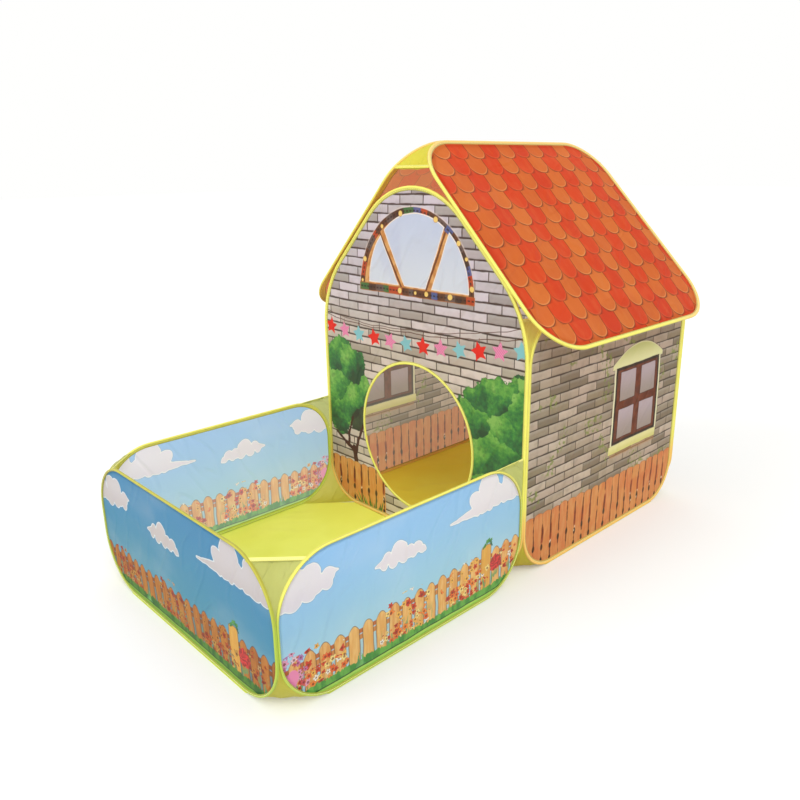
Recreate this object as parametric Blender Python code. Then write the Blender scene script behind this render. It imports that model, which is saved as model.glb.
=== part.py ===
# Children's play tent: a gabled house of hooped cloth panels with an open yard in front of it.
# Metres, +Z up. The house door faces the yard, along -Y, and the tent's middle is at the origin.

import math

import bmesh
import bpy
from mathutils import Matrix, Vector

# Driving dimensions, between the middle planes of the panels
house_width = 0.700
house_depth = 0.700
ridge_height = 0.990
roof_half_width = 0.4275
roof_edge_height = 0.549
roof_front_overhang = 0.009
roof_back_overhang = 0.003
yard_length = 0.676
yard_height = 0.306
door_radius = 0.194
door_centre_height = 0.262

# Bend radii of the spring hoops
house_corner_radius = 0.110
yard_corner_radius = 0.122
roof_corner_radius = 0.121
gable_eave_radius = 0.270
gable_peak_radius = 0.219

# Cloth, and the folded binding that sleeves each hoop
cloth_thickness = 0.0008
binding_thickness = 0.0072
binding_width = 0.010
binding_wall = 0.0008
binding_lip = 0.0026
cloth_inset = 0.0043
door_binding_width = 0.009
door_binding_thickness = 0.0034

# Spring steel strip, and the ferrule that joins its two ends
strip_width = 0.0026
strip_thickness = 0.0009
strip_inset = 0.0025
strip_end_gap = 0.0006
ferrule_wall = 0.00045
ferrule_length = 0.022

# Clearances
sewn_gap = 0.0003
corner_gap = 0.0005
hinge_gap = 0.0006
roof_gap = 0.001
wall_lift = 0.0006
web_gap = 0.0009

# Floors and corner webs
floor_thickness = 0.001
web_thickness = 0.0008
web_plane_shift = 0.0016
narrow_end_share = 0.25
floor_end_share = 0.87
eave_end_share = 0.88
yard_hem_share = 0.75
join_hem_share = 0.95
ridge_hem_share = 0.20
ridge_end_share = 0.80

# Fineness of the round stretches
quarter_turn = math.pi / 2
corner_steps = 6
eave_steps = 7
peak_steps = 10
door_steps = 36

# Derived sizes
wall_bottom = floor_thickness + wall_lift
half_binding = binding_thickness / 2
roof_slope = math.atan2(ridge_height - roof_edge_height, roof_half_width)
front_y = (yard_length - house_depth) / 2
back_y = front_y + house_depth
yard_front_y = front_y - yard_length
wall_face_x = house_width / 2 + half_binding
full_width = house_width + binding_thickness


def roof_underside(x):
    level = ridge_height - x * math.tan(roof_slope)
    return level - half_binding / math.cos(roof_slope)


side_wall_height = roof_underside(wall_face_x) - roof_gap - wall_bottom
side_wall_width = house_depth - binding_thickness - 2 * corner_gap
yard_side_width = yard_length - binding_thickness - 2 * corner_gap
yard_panel_height = yard_height - wall_bottom
ridge_offset = half_binding * math.sin(roof_slope) + corner_gap / 2
roof_panel_height = (roof_half_width - ridge_offset) / math.cos(roof_slope)
roof_panel_width = house_depth + roof_front_overhang + roof_back_overhang
roof_middle_y = (front_y - roof_front_overhang + back_y + roof_back_overhang) / 2


# Start from an empty file
for old_object in list(bpy.data.objects):
    bpy.data.objects.remove(old_object, do_unlink=True)


# Materials
def make_material(name, colour, roughness, metallic=0.0):
    material = bpy.data.materials.new(name)
    material.use_nodes = True
    shader = material.node_tree.nodes["Principled BSDF"]
    shader.inputs["Base Color"].default_value = (*colour, 1.0)
    shader.inputs["Roughness"].default_value = roughness
    shader.inputs["Metallic"].default_value = metallic
    material.diffuse_color = (*colour, 1.0)
    return material


brick_cloth = make_material("brick_cloth", (0.46, 0.40, 0.37), 0.75)
tile_cloth = make_material("tile_cloth", (0.68, 0.13, 0.04), 0.70)
sky_cloth = make_material("sky_cloth", (0.28, 0.58, 0.80), 0.70)
yellow_binding = make_material("yellow_binding", (0.88, 0.82, 0.14), 0.65)
yellow_web = make_material("yellow_web", (0.62, 0.58, 0.05), 0.70)
lime_floor = make_material("lime_floor", (0.70, 0.74, 0.05), 0.70)
spring_steel = make_material("spring_steel", (0.45, 0.46, 0.48), 0.35, 1.0)


# Outlines are lists of (centre u, centre v, radius, angle): a point at an inset lies that much
# nearer to the centre, so every layer of a panel follows the same outline
def arc(centre_u, centre_v, radius, first_angle, last_angle, steps=corner_steps):
    turn = (last_angle - first_angle) / steps
    return [(centre_u, centre_v, radius, first_angle + turn * k) for k in range(steps + 1)]


def outline_point(corner, inset):
    centre_u, centre_v, radius, angle = corner
    reach = radius - inset
    return centre_u + reach * math.cos(angle), centre_v + reach * math.sin(angle)


def rounded_outline(width, height, radius):
    u = width / 2 - radius
    v = height - radius
    lower = arc(u, radius, radius, -quarter_turn, 0)
    upper = arc(u, v, radius, 0, quarter_turn) + arc(-u, v, radius, quarter_turn, 2 * quarter_turn)
    return lower + upper + arc(-u, radius, radius, 2 * quarter_turn, 3 * quarter_turn)


# The gable's slopes run parallel to the roof, a little below it
slope_normal_angle = quarter_turn - roof_slope
slope_line = (ridge_height - wall_bottom) * math.cos(roof_slope) - half_binding - roof_gap
eave_centre_u = full_width / 2 - gable_eave_radius
eave_centre_v = (slope_line - gable_eave_radius - eave_centre_u * math.sin(roof_slope)) / math.cos(roof_slope)
peak_centre_v = (slope_line - gable_peak_radius) / math.cos(roof_slope)


def gable_outline():
    radius = house_corner_radius
    u = full_width / 2 - radius
    mirrored = 2 * quarter_turn - slope_normal_angle
    points = arc(u, radius, radius, -quarter_turn, 0)
    points += arc(eave_centre_u, eave_centre_v, gable_eave_radius, 0, slope_normal_angle, eave_steps)
    points += arc(0, peak_centre_v, gable_peak_radius, slope_normal_angle, mirrored, peak_steps)
    points += arc(-eave_centre_u, eave_centre_v, gable_eave_radius, mirrored, 2 * quarter_turn, eave_steps)
    return points + arc(-u, radius, radius, 2 * quarter_turn, 3 * quarter_turn)


def gable_edge_u(v):
    above = max(0, v - eave_centre_v)
    return eave_centre_u + math.sqrt(gable_eave_radius ** 2 - above ** 2)


# Meshes, drawn in a panel's own plane: X along it, Z up it and Y through it
def finish_mesh(name, bm):
    bmesh.ops.recalc_face_normals(bm, faces=bm.faces)
    mesh = bpy.data.meshes.new(name)
    bm.to_mesh(mesh)
    bm.free()
    return mesh


def sweep(name, outline, profile, closed):
    bm = bmesh.new()
    rings = []
    for corner in outline:
        ring = []
        for inset, height in profile:
            u, v = outline_point(corner, inset)
            ring.append(bm.verts.new((u, height, v)))
        rings.append(ring)
    following = rings[1:] + rings[:1] if closed else rings[1:]
    for ring, next_ring in zip(rings, following):
        for k in range(len(ring)):
            bm.faces.new((ring[k - 1], ring[k], next_ring[k], next_ring[k - 1]))
    if not closed:
        bm.faces.new(rings[0])
        bm.faces.new(rings[-1])
    return finish_mesh(name, bm)


def loop_edges(bm, points):
    verts = [bm.verts.new((u, 0, v)) for u, v in points]
    return [bm.edges.new((verts[k - 1], verts[k])) for k in range(len(verts))]


def plate(name, outer, hole, thickness):
    bm = bmesh.new()
    edges = loop_edges(bm, outer)
    if hole:
        edges += loop_edges(bm, hole)
    bmesh.ops.triangle_fill(bm, edges=edges, use_beauty=True)
    raised = bmesh.ops.extrude_face_region(bm, geom=list(bm.faces))
    raised_verts = [item for item in raised["geom"] if isinstance(item, bmesh.types.BMVert)]
    bmesh.ops.translate(bm, verts=list(bm.verts), vec=(0, -thickness / 2, 0))
    bmesh.ops.translate(bm, verts=raised_verts, vec=(0, thickness, 0))
    return finish_mesh(name, bm)


def rectangle(width, height):
    return [(u * width / 2, v * height / 2) for u, v in ((-1, -1), (1, -1), (1, 1), (-1, 1))]


# Joint empties: every moving body's pieces hang from the empty on its hinge
def pivot(name, location, parent=None):
    empty = bpy.data.objects.new(name, None)
    empty.empty_display_size = binding_width
    bpy.context.scene.collection.objects.link(empty)
    empty.location = location
    if parent:
        empty.parent = parent
        empty.location = Vector(location) - parent.matrix_world.translation
    bpy.context.view_layer.update()
    return empty


eave_x = wall_face_x + hinge_gap
inner_x = house_width / 2 - half_binding - hinge_gap
front_inner_y = front_y + half_binding + hinge_gap
eave_z = roof_underside(eave_x)

ground = pivot("tent_base", (0, front_y, 0))
right_hinge = pivot("right_wall_hinge", (inner_x, front_inner_y, 0), ground)
left_hinge = pivot("left_wall_hinge", (-wall_face_x, front_y - half_binding, 0), ground)
back_hinge = pivot("back_wall_hinge", (wall_face_x, back_y + half_binding, 0), right_hinge)
right_eave = pivot("roof_right_hinge", (eave_x, roof_middle_y, eave_z), right_hinge)
left_eave = pivot("roof_left_hinge", (-eave_x, roof_middle_y, eave_z), left_hinge)
yard_right_hinge = pivot("yard_right_hinge", (wall_face_x, front_y + half_binding, 0), ground)
yard_left_hinge = pivot("yard_left_hinge", (-inner_x, front_y - half_binding - hinge_gap, 0), ground)
yard_front_hinge = pivot(
    "yard_front_hinge", (inner_x, yard_front_y + half_binding + hinge_gap, 0), yard_right_hinge
)


def place(mesh, material, parent, origin, along, up):
    thing = bpy.data.objects.new(mesh.name, mesh)
    bpy.context.scene.collection.objects.link(thing)
    mesh.materials.append(material)
    normal = up.cross(along)
    turn = Matrix((along, normal, up)).transposed()
    thing.parent = parent
    thing.location = origin - parent.matrix_world.translation
    thing.rotation_euler = turn.to_euler()
    return thing


# Where each panel stands: its bottom middle, the way it runs and the way it rises
world_x = Vector((1, 0, 0))
world_y = Vector((0, 1, 0))
world_z = Vector((0, 0, 1))
roof_lean = math.cos(roof_slope)
roof_rise = math.sin(roof_slope)
house_middle_y = (front_y + back_y) / 2
yard_middle_y = (front_y + yard_front_y) / 2
half_house = house_width / 2

house_side = (side_wall_width, side_wall_height, house_corner_radius)
house_gable = (full_width, side_wall_height, house_corner_radius)
roof_side = (roof_panel_width, roof_panel_height, roof_corner_radius)
yard_side = (yard_side_width, yard_panel_height, yard_corner_radius)
yard_end = (full_width, yard_panel_height, yard_corner_radius)


def panel(size, parent, cloth, origin, along, up=world_z):
    width, height, radius = size
    return {
        "width": width, "height": height, "radius": radius, "parent": parent, "cloth": cloth,
        "origin": Vector(origin), "along": along, "up": up, "normal": up.cross(along),
    }


panels = {
    "front_wall": panel(house_gable, ground, brick_cloth, (0, front_y, wall_bottom), world_x),
    "back_wall": panel(house_gable, back_hinge, brick_cloth, (0, back_y, wall_bottom), world_x),
    "right_wall": panel(
        house_side, right_hinge, brick_cloth, (half_house, house_middle_y, wall_bottom), world_y
    ),
    "left_wall": panel(
        house_side, left_hinge, brick_cloth, (-half_house, house_middle_y, wall_bottom), world_y
    ),
    "roof_right": panel(
        roof_side, right_eave, tile_cloth, (roof_half_width, roof_middle_y, roof_edge_height),
        world_y, Vector((-roof_lean, 0, roof_rise)),
    ),
    "roof_left": panel(
        roof_side, left_eave, tile_cloth, (-roof_half_width, roof_middle_y, roof_edge_height),
        world_y, Vector((roof_lean, 0, roof_rise)),
    ),
    "yard_front": panel(
        yard_end, yard_front_hinge, sky_cloth, (0, yard_front_y, wall_bottom), world_x
    ),
    "yard_right": panel(
        yard_side, yard_right_hinge, sky_cloth, (half_house, yard_middle_y, wall_bottom), world_y
    ),
    "yard_left": panel(
        yard_side, yard_left_hinge, sky_cloth, (-half_house, yard_middle_y, wall_bottom), world_y
    ),
}

# Cross-sections, as (inset from the panel's edge, height off its middle plane)
binding_profile = [
    (0, half_binding), (binding_width, binding_lip / 2),
    (binding_width, cloth_thickness / 2 + sewn_gap), (binding_wall, half_binding - binding_wall),
    (binding_wall, binding_wall - half_binding), (binding_width, -cloth_thickness / 2 - sewn_gap),
    (binding_width, -binding_lip / 2), (0, -half_binding),
]
strip_profile = [
    (strip_inset + u, v) for u, v in rectangle(strip_thickness, strip_width)
]
half_door_binding = door_binding_thickness / 2
door_profile = [
    (0, half_door_binding), (door_binding_width, binding_lip / 2),
    (door_binding_width, cloth_thickness / 2 + sewn_gap), (binding_wall, half_door_binding - binding_wall),
    (binding_wall, binding_wall - half_door_binding), (door_binding_width, -cloth_thickness / 2 - sewn_gap),
    (door_binding_width, -binding_lip / 2), (0, -half_door_binding),
]


# Door: a round hole, edged by a binding that grips the cloth around it
def door_point(step, reach):
    angle = 4 * quarter_turn * step / door_steps
    return reach * math.cos(angle), door_centre_height - wall_bottom + reach * math.sin(angle)


def door_hole(reach):
    return [door_point(step, reach) for step in range(door_steps)]


def add_door_binding(spec):
    centre_v = door_centre_height - wall_bottom
    outline = [(0, centre_v, door_radius, 4 * quarter_turn * k / door_steps) for k in range(door_steps)]
    outward_profile = [(-inset, height) for inset, height in door_profile]
    mesh = sweep("door_binding", outline, outward_profile, closed=True)
    place(mesh, yellow_binding, spec["parent"], spec["origin"], spec["along"], spec["up"])


# One hooped panel: printed cloth, binding, spring hoop and the ferrule on its joint
def add_panel(name, spec):
    gabled = name in ("front_wall", "back_wall")
    outline = gable_outline() if gabled else rounded_outline(spec["width"], spec["height"], spec["radius"])
    spot = (spec["parent"], spec["origin"], spec["along"], spec["up"])

    hole = door_hole(door_radius + 2 * binding_wall) if name == "front_wall" else None
    cloth_edge = [outline_point(corner, cloth_inset) for corner in outline]
    place(plate(name + "_cloth", cloth_edge, hole, cloth_thickness), spec["cloth"], *spot)

    place(sweep(name + "_binding", outline, binding_profile, closed=True), yellow_binding, *spot)

    first_end = (strip_end_gap / 2, 0, 0, -quarter_turn)
    last_end = (-strip_end_gap / 2, 0, 0, -quarter_turn)
    strip_outline = [first_end] + outline + [last_end]
    place(sweep(name + "_hoop", strip_outline, strip_profile, closed=False), spring_steel, *spot)

    inner_width = strip_width + 2 * sewn_gap
    inner_height = strip_thickness + 2 * sewn_gap
    outer = rectangle(inner_width + 2 * ferrule_wall, inner_height + 2 * ferrule_wall)
    mesh = plate(name + "_ferrule", outer, rectangle(inner_width, inner_height), ferrule_length)
    origin = spec["origin"] + strip_inset * spec["up"]
    place(mesh, spring_steel, spec["parent"], origin, spec["normal"], spec["up"])


for panel_name, panel_spec in panels.items():
    add_panel(panel_name, panel_spec)
add_door_binding(panels["front_wall"])


# Corner webs: cloth stretched between the rounded corners of two neighbouring panels.
# side is +1 at the panel's far end and -1 at its near end; level is +1 at its top, -1 at its foot
def corner_point(name, side, level, share, shift=0):
    spec = panels[name]
    radius = spec["radius"]
    angle = share * quarter_turn
    half_step = quarter_turn / corner_steps / 2
    off_middle = angle % (2 * half_step) - half_step
    reach = (radius + web_gap) * math.cos(half_step) / math.cos(off_middle)
    corner_v = spec["height"] - radius if level > 0 else radius
    u = side * (spec["width"] / 2 - radius + reach * math.cos(angle))
    v = corner_v + level * reach * math.sin(angle)
    return spec["origin"] + u * spec["along"] + v * spec["up"] + shift * spec["normal"]


def gable_point(name, side, v, shift):
    spec = panels[name]
    u = side * (gable_edge_u(v) + web_gap)
    return spec["origin"] + u * spec["along"] + v * spec["up"] + shift * spec["normal"]


def add_web(name, parent, first_curve, second_curve):
    bm = bmesh.new()
    base = parent.matrix_world.translation
    rings = []
    for k, (first, second) in enumerate(zip(first_curve, second_curve)):
        before = max(k - 1, 0)
        after = min(k + 1, len(first_curve) - 1)
        run = first_curve[after] + second_curve[after] - first_curve[before] - second_curve[before]
        lift = (second - first).cross(run).normalized() * web_thickness / 2
        corners = (first - lift, second - lift, second + lift, first + lift)
        rings.append([bm.verts.new(corner - base) for corner in corners])
    for ring, next_ring in zip(rings, rings[1:]):
        for k in range(len(ring)):
            bm.faces.new((ring[k - 1], ring[k], next_ring[k], next_ring[k - 1]))
    bm.faces.new(rings[0])
    bm.faces.new(rings[-1])
    mesh = finish_mesh(name, bm)
    place(mesh, yellow_web, parent, base, world_x, world_z)


# A web bends where its panels' corners do, so that its edges lie along theirs
def shares(first, last):
    bends = [k / corner_steps for k in range(corner_steps) if first < k / corner_steps < last]
    return [first] + bends + [last]


def side_name(side):
    return "right" if side > 0 else "left"


def add_house_webs(gable, side, end, parent):
    wall = side_name(side) + "_wall"
    label = gable.split("_")[0] + "_" + side_name(side)
    inward = -end * web_plane_shift
    foot = shares(narrow_end_share, floor_end_share)
    gable_foot = [corner_point(gable, side, -1, share, inward) for share in foot]
    wall_foot = [corner_point(wall, end, -1, share) for share in foot]
    add_web("web_foot_" + label, parent, gable_foot, wall_foot)
    wall_top = [corner_point(wall, end, 1, share) for share in shares(narrow_end_share, eave_end_share)]
    gable_top = [gable_point(gable, side, point.z - wall_bottom, inward) for point in wall_top]
    add_web("web_eave_" + label, parent, gable_top, wall_top)


def add_yard_webs(side):
    wall = "yard_" + side_name(side)
    label = side_name(side)
    far = yard_front_hinge
    foot = shares(narrow_end_share, floor_end_share)
    top = shares(narrow_end_share, yard_hem_share)
    end_foot = [corner_point("yard_front", side, -1, share, web_plane_shift) for share in foot]
    add_web("web_yard_foot_" + label, far, end_foot, [corner_point(wall, -1, -1, share) for share in foot])
    end_top = [corner_point("yard_front", side, 1, share, web_plane_shift) for share in top]
    add_web("web_yard_top_" + label, far, end_top, [corner_point(wall, -1, 1, share) for share in top])

    house_foot = [corner_point("front_wall", side, -1, share, -web_plane_shift) for share in foot]
    wall_foot = [corner_point(wall, 1, -1, share) for share in foot]
    add_web("web_join_foot_" + label, ground, house_foot, wall_foot)
    wall_top = [corner_point(wall, 1, 1, share) for share in shares(narrow_end_share, join_hem_share)]
    seam_y = front_y - half_binding - sewn_gap
    seam = [Vector((side * half_house, seam_y, point.z)) for point in wall_top]
    add_web("web_join_top_" + label, ground, seam, wall_top)


def add_ridge_web(name, end, parent):
    steps = shares(ridge_hem_share, ridge_end_share)
    right = [corner_point("roof_right", end, 1, share) for share in steps]
    left = [corner_point("roof_left", end, 1, share) for share in steps]
    add_web(name, parent, right, left)


for web_side in (-1, 1):
    add_house_webs("front_wall", web_side, -1, ground)
    add_house_webs("back_wall", web_side, 1, back_hinge)
    add_yard_webs(web_side)
add_ridge_web("web_ridge_front", -1, right_eave)
add_ridge_web("web_ridge_back", 1, left_eave)


# Floors: one sheet under the house and one under the yard, cut off where the foot webs land
def floor_cut(radius):
    return radius * (1 - math.cos(floor_end_share * quarter_turn))


def add_floor(name, near_y, far_y, near_cut, far_cut, side_cut):
    x = wall_face_x
    points = [
        (x - near_cut, near_y), (x, near_y + side_cut), (x, far_y - side_cut),
        (x - far_cut, far_y), (far_cut - x, far_y), (-x, far_y - side_cut),
        (-x, near_y + side_cut), (near_cut - x, near_y),
    ]
    mesh = plate(name, points, None, floor_thickness)
    origin = Vector((0, 0, floor_thickness / 2))
    place(mesh, lime_floor, ground, origin, world_x, world_y)


floor_seam = sewn_gap / 2
house_cut = floor_cut(house_corner_radius)
yard_cut = floor_cut(yard_corner_radius)
add_floor(
    "house_floor", front_y + floor_seam, back_y + half_binding, house_cut, house_cut, house_cut
)
add_floor(
    "yard_floor", yard_front_y - half_binding, front_y - floor_seam, yard_cut, house_cut, yard_cut
)
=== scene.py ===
import math

import bmesh
import bpy
from mathutils import Matrix, Vector, noise
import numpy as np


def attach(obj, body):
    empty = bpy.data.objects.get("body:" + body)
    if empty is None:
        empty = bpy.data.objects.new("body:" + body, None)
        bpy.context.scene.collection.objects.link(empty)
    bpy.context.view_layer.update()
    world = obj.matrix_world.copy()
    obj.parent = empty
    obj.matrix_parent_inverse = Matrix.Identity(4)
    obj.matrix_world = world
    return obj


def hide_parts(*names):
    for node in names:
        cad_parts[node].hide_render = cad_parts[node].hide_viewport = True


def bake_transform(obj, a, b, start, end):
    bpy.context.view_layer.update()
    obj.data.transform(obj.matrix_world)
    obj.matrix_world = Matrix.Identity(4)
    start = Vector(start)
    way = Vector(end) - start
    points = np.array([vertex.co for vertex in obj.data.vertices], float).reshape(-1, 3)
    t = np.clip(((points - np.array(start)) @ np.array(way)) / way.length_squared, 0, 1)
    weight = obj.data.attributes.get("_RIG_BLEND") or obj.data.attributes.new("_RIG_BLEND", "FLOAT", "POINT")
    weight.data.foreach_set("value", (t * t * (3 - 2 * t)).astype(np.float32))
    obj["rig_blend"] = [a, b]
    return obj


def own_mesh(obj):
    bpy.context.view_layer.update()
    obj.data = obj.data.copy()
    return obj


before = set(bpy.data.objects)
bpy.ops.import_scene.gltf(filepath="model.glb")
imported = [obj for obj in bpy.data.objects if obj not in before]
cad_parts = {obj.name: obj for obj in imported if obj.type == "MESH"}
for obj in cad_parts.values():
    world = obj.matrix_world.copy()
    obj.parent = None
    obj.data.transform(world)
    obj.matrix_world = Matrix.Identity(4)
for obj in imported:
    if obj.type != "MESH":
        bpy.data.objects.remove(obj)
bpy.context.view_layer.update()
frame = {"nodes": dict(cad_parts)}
print("frame loaded:", len(frame["nodes"]), "nodes")

# the sizes the tent was cut to, as in its CAD source
tent = {
    "halfWidth": 0.35, "tape": 0.0072, "frontY": -0.012, "backY": 0.688,
    "yardY": -0.688, "wallFoot": 0.0016, "ridge": 0.99, "roofHalf": 0.4275, "roofEdge": 0.549,
    "houseCorner": 0.11, "yardCorner": 0.122, "roofCorner": 0.121, "gableEave": 0.27,
    "gablePeak": 0.219, "doorRadius": 0.194, "doorHeight": 0.262, "yardTop": 0.306,
    "roofGap": 0.001, "cornerGap": 0.0005, "clothInset": 0.0043,
}
slope = math.atan2(tent["ridge"] - tent["roofEdge"], tent["roofHalf"])
halfTape = tent["tape"] / 2
faceX = tent["halfWidth"] + halfTape
gableWidth = 2 * faceX
wallHeight = (
    tent["ridge"] - faceX * math.tan(slope) - halfTape / math.cos(slope) - tent["roofGap"]
    - tent["wallFoot"]
)
wallWidth = tent["backY"] - tent["frontY"] - tent["tape"] - 2 * tent["cornerGap"]
yardWidth = tent["frontY"] - tent["yardY"] - tent["tape"] - 2 * tent["cornerGap"]
yardHeight = tent["yardTop"] - tent["wallFoot"]
roofHeight = (tent["roofHalf"] - halfTape * math.sin(slope) - 0.00025) / math.cos(slope)
xWay, yWay, zWay = Vector((1, 0, 0)), Vector((0, 1, 0)), Vector((0, 0, 1))


def panel(body, outside, origin, along, width, height, radius, up=zWay, gabled=False, bow=0.003):
    # outside is -1 where the cloth's outer face looks against up x along
    return {
        "body": body, "outside": outside, "origin": Vector(origin), "along": along, "up": up,
        "through": up.cross(along), "width": width, "height": height, "radius": radius,
        "gabled": gabled, "bow": bow,
    }


foot, houseY = tent["wallFoot"], (tent["frontY"] + tent["backY"]) / 2
yardY, hw, hc, yc = (
    (tent["frontY"] + tent["yardY"]) / 2, tent["halfWidth"], tent["houseCorner"], tent["yardCorner"]
)
rightRise, leftRise = Vector((-math.cos(slope), 0, math.sin(slope))), Vector(
    (math.cos(slope), 0, math.sin(slope))
)
panels = {
    "front_wall": panel(
        "tent_base", -1, (0, tent["frontY"], foot), xWay, gableWidth, wallHeight, hc, gabled=True
    ),
    "back_wall": panel(
        "back_wall", 1, (0, tent["backY"], foot), xWay, gableWidth, wallHeight, hc, gabled=True
    ),
    "right_wall": panel("right_wall", -1, (hw, houseY, foot), yWay, wallWidth, wallHeight, hc),
    "left_wall": panel("left_wall", 1, (-hw, houseY, foot), yWay, wallWidth, wallHeight, hc),
    "roof_right": panel(
        "roof_right", -1, (tent["roofHalf"], 0.335, tent["roofEdge"]), yWay, 0.712, roofHeight,
        tent["roofCorner"], rightRise, bow=0.007,
    ),
    "roof_left": panel(
        "roof_left", 1, (-tent["roofHalf"], 0.335, tent["roofEdge"]), yWay, 0.712, roofHeight,
        tent["roofCorner"], leftRise, bow=0.007,
    ),
    "yard_front": panel("yard_front", -1, (0, tent["yardY"], foot), xWay, gableWidth, yardHeight, yc),
    "yard_right": panel("yard_right", -1, (hw, yardY, foot), yWay, yardWidth, yardHeight, yc),
    "yard_left": panel("yard_left", 1, (-hw, yardY, foot), yWay, yardWidth, yardHeight, yc),
}


gableLine = (tent["ridge"] - foot) * math.cos(slope) - halfTape - tent["roofGap"]


def eaveCentre(halfWide):
    across = halfWide - tent["gableEave"]
    return across, (gableLine - tent["gableEave"] - across * math.sin(slope)) / math.cos(slope)


# The way round a panel, from the bottom middle: straight runs, and bends about a centre
def outlineMoves(spec):
    quarter = math.pi / 2
    w, h, r = spec["width"] / 2, spec["height"], spec["radius"]
    if not spec["gabled"]:
        return [
            ("run", w - r, 0), ("bend", w - r, r, quarter), ("run", 0, h - 2 * r),
            ("bend", w - r, h - r, quarter), ("run", 2 * (r - w), 0), ("bend", r - w, h - r, quarter),
            ("run", 0, 2 * r - h), ("bend", r - w, r, quarter), ("run", w - r, 0),
        ]
    lean = quarter - slope
    eaveR, peakR = tent["gableEave"], tent["gablePeak"]
    eaveU, eaveV = eaveCentre(w)
    peakV = (gableLine - peakR) / math.cos(slope)
    rise = Vector((0, peakV)) - Vector((eaveU, eaveV)) + (peakR - eaveR) * Vector(
        (math.cos(lean), math.sin(lean))
    )
    return [
        ("run", w - r, 0), ("bend", w - r, r, quarter), ("run", 0, eaveV - r), ("bend", eaveU, eaveV, lean),
        ("run", rise.x, rise.y), ("bend", 0, peakV, 2 * (quarter - lean)), ("run", rise.x, -rise.y),
        ("bend", -eaveU, eaveV, lean), ("run", 0, r - eaveV), ("bend", r - w, r, quarter),
        ("run", w - r, 0),
    ]


def smallMoves(spec, stride=0.036, bendStep=math.radians(9)):
    for move in outlineMoves(spec):
        if move[0] == "run":
            count = max(1, round(math.hypot(move[1], move[2]) / stride))
            for _ in range(count):
                yield ("run", move[1] / count, move[2] / count)
        else:
            count = max(1, round(move[3] / bendStep))
            for _ in range(count):
                yield ("bend", move[1], move[2], move[3] / count)


def moveVerts(bm, verts, move):
    if move[0] == "run":
        bmesh.ops.translate(bm, verts=verts, vec=(move[1], 0, move[2]))
        return math.hypot(move[1], move[2])
    turn = Matrix.Rotation(-move[3], 3, "Y")
    bmesh.ops.rotate(bm, verts=verts, cent=(move[1], 0, move[2]), matrix=turn)
    return None


def grow(bm, edges):
    # draws the edges out in place: the new vertices, edges and faces
    grown = bmesh.ops.extrude_edge_only(bm, edges=edges)["geom"]
    kinds = (bmesh.types.BMVert, bmesh.types.BMEdge, bmesh.types.BMFace)
    return [[g for g in grown if isinstance(g, kind)] for kind in kinds]


def mapLoops(bm, name, place):
    uvMap = bm.loops.layers.uv.new(name)
    for face in bm.faces:
        for loop in face.loops:
            loop[uvMap].uv = place(loop.vert)


def clamp(value):
    return max(0.0, min(1.0, value))


def outlinePoints(spec, inset):
    spot = Vector((0, 0, inset))
    points = [spot.copy()]
    for move in smallMoves(spec):
        if move[0] == "run":
            spot = spot + Vector((move[1], 0, move[2]))
        else:
            centre = Vector((move[1], 0, move[2]))
            spot = centre + Matrix.Rotation(-move[3], 3, "Y") @ (spot - centre)
        points.append(spot.copy())
    return points[:-1]


def panelMatrix(spec):
    turn = Matrix((spec["along"], spec["through"], spec["up"])).transposed().to_4x4()
    return Matrix.Translation(spec["origin"]) @ turn


def makeObject(name, bm, materials, smooth=True):
    mesh = bpy.data.meshes.new(name)
    bm.to_mesh(mesh)
    bm.free()
    for material in materials:
        mesh.materials.append(material)
    for face in mesh.polygons:
        face.use_smooth = smooth
    thing = bpy.data.objects.new(name, mesh)
    bpy.context.scene.collection.objects.link(thing)
    return thing


# Node trees are written with these few calls, into the tree that is being built
building = {"tree": None}


def newNode(kind):
    return building["tree"].nodes.new("ShaderNode" + kind)


def paint(red, green, blue):
    # a screen colour, 0 to 255, as a shader colour
    return tuple(
        c / 3294.6 if c <= 10 else ((c / 255 + 0.055) / 1.055) ** 2.4 for c in (red, green, blue)
    ) + (1.0,)


def put(socket, value):
    # three numbers for a colour socket are a screen colour
    if isinstance(value, Wire):
        value = value.socket
    if isinstance(value, bpy.types.NodeSocket):
        building["tree"].links.new(value, socket)
    elif value is not None:
        socket.default_value = paint(*value) if socket.type == "RGBA" and len(value) == 3 else value


def fill(node, values):
    for name, value in values.items():
        put(node.inputs[name], value)
    return node


def calc(operation, *values):
    node = newNode("Math")
    node.operation = operation
    for socket, value in zip(node.inputs, values):
        put(socket, value)
    return Wire(node.outputs[0])


def sums(operation):
    return (lambda own, other: calc(operation, own, other)), (
        lambda own, other: calc(operation, other, own)
    )


class Wire:
    # what a node gives, so that + - * / and % make Math nodes
    def __init__(self, socket):
        self.socket = socket

    __add__, __radd__ = sums("ADD")
    __sub__, __rsub__ = sums("SUBTRACT")
    __mul__, __rmul__ = sums("MULTIPLY")
    __truediv__, __rtruediv__ = sums("DIVIDE")
    __mod__ = sums("FLOORED_MODULO")[0]

    def __abs__(self):
        return calc("ABSOLUTE", self)


def least(*values):
    return calc("MINIMUM", *values)


def most(*values):
    return calc("MAXIMUM", *values)


def floor(value):
    return calc("FLOOR", value)


def timesPlus(value, factor, extra):
    return calc("MULTIPLY_ADD", value, factor, extra)


def vector(operation, *values):
    node = newNode("VectorMath")
    node.operation = operation
    for socket, value in zip(node.inputs, values):
        put(socket, value)
    if operation == "SCALE":
        put(node.inputs["Scale"], values[1])
    return Wire(node.outputs["Value" if operation in ("LENGTH", "DOT_PRODUCT", "DISTANCE") else "Vector"])


def lengthOf(value):
    return vector("LENGTH", value)


def apart(first, second):
    return vector("DISTANCE", first, second)


def stretch(spot, factors):
    return vector("MULTIPLY", spot, factors)


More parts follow.
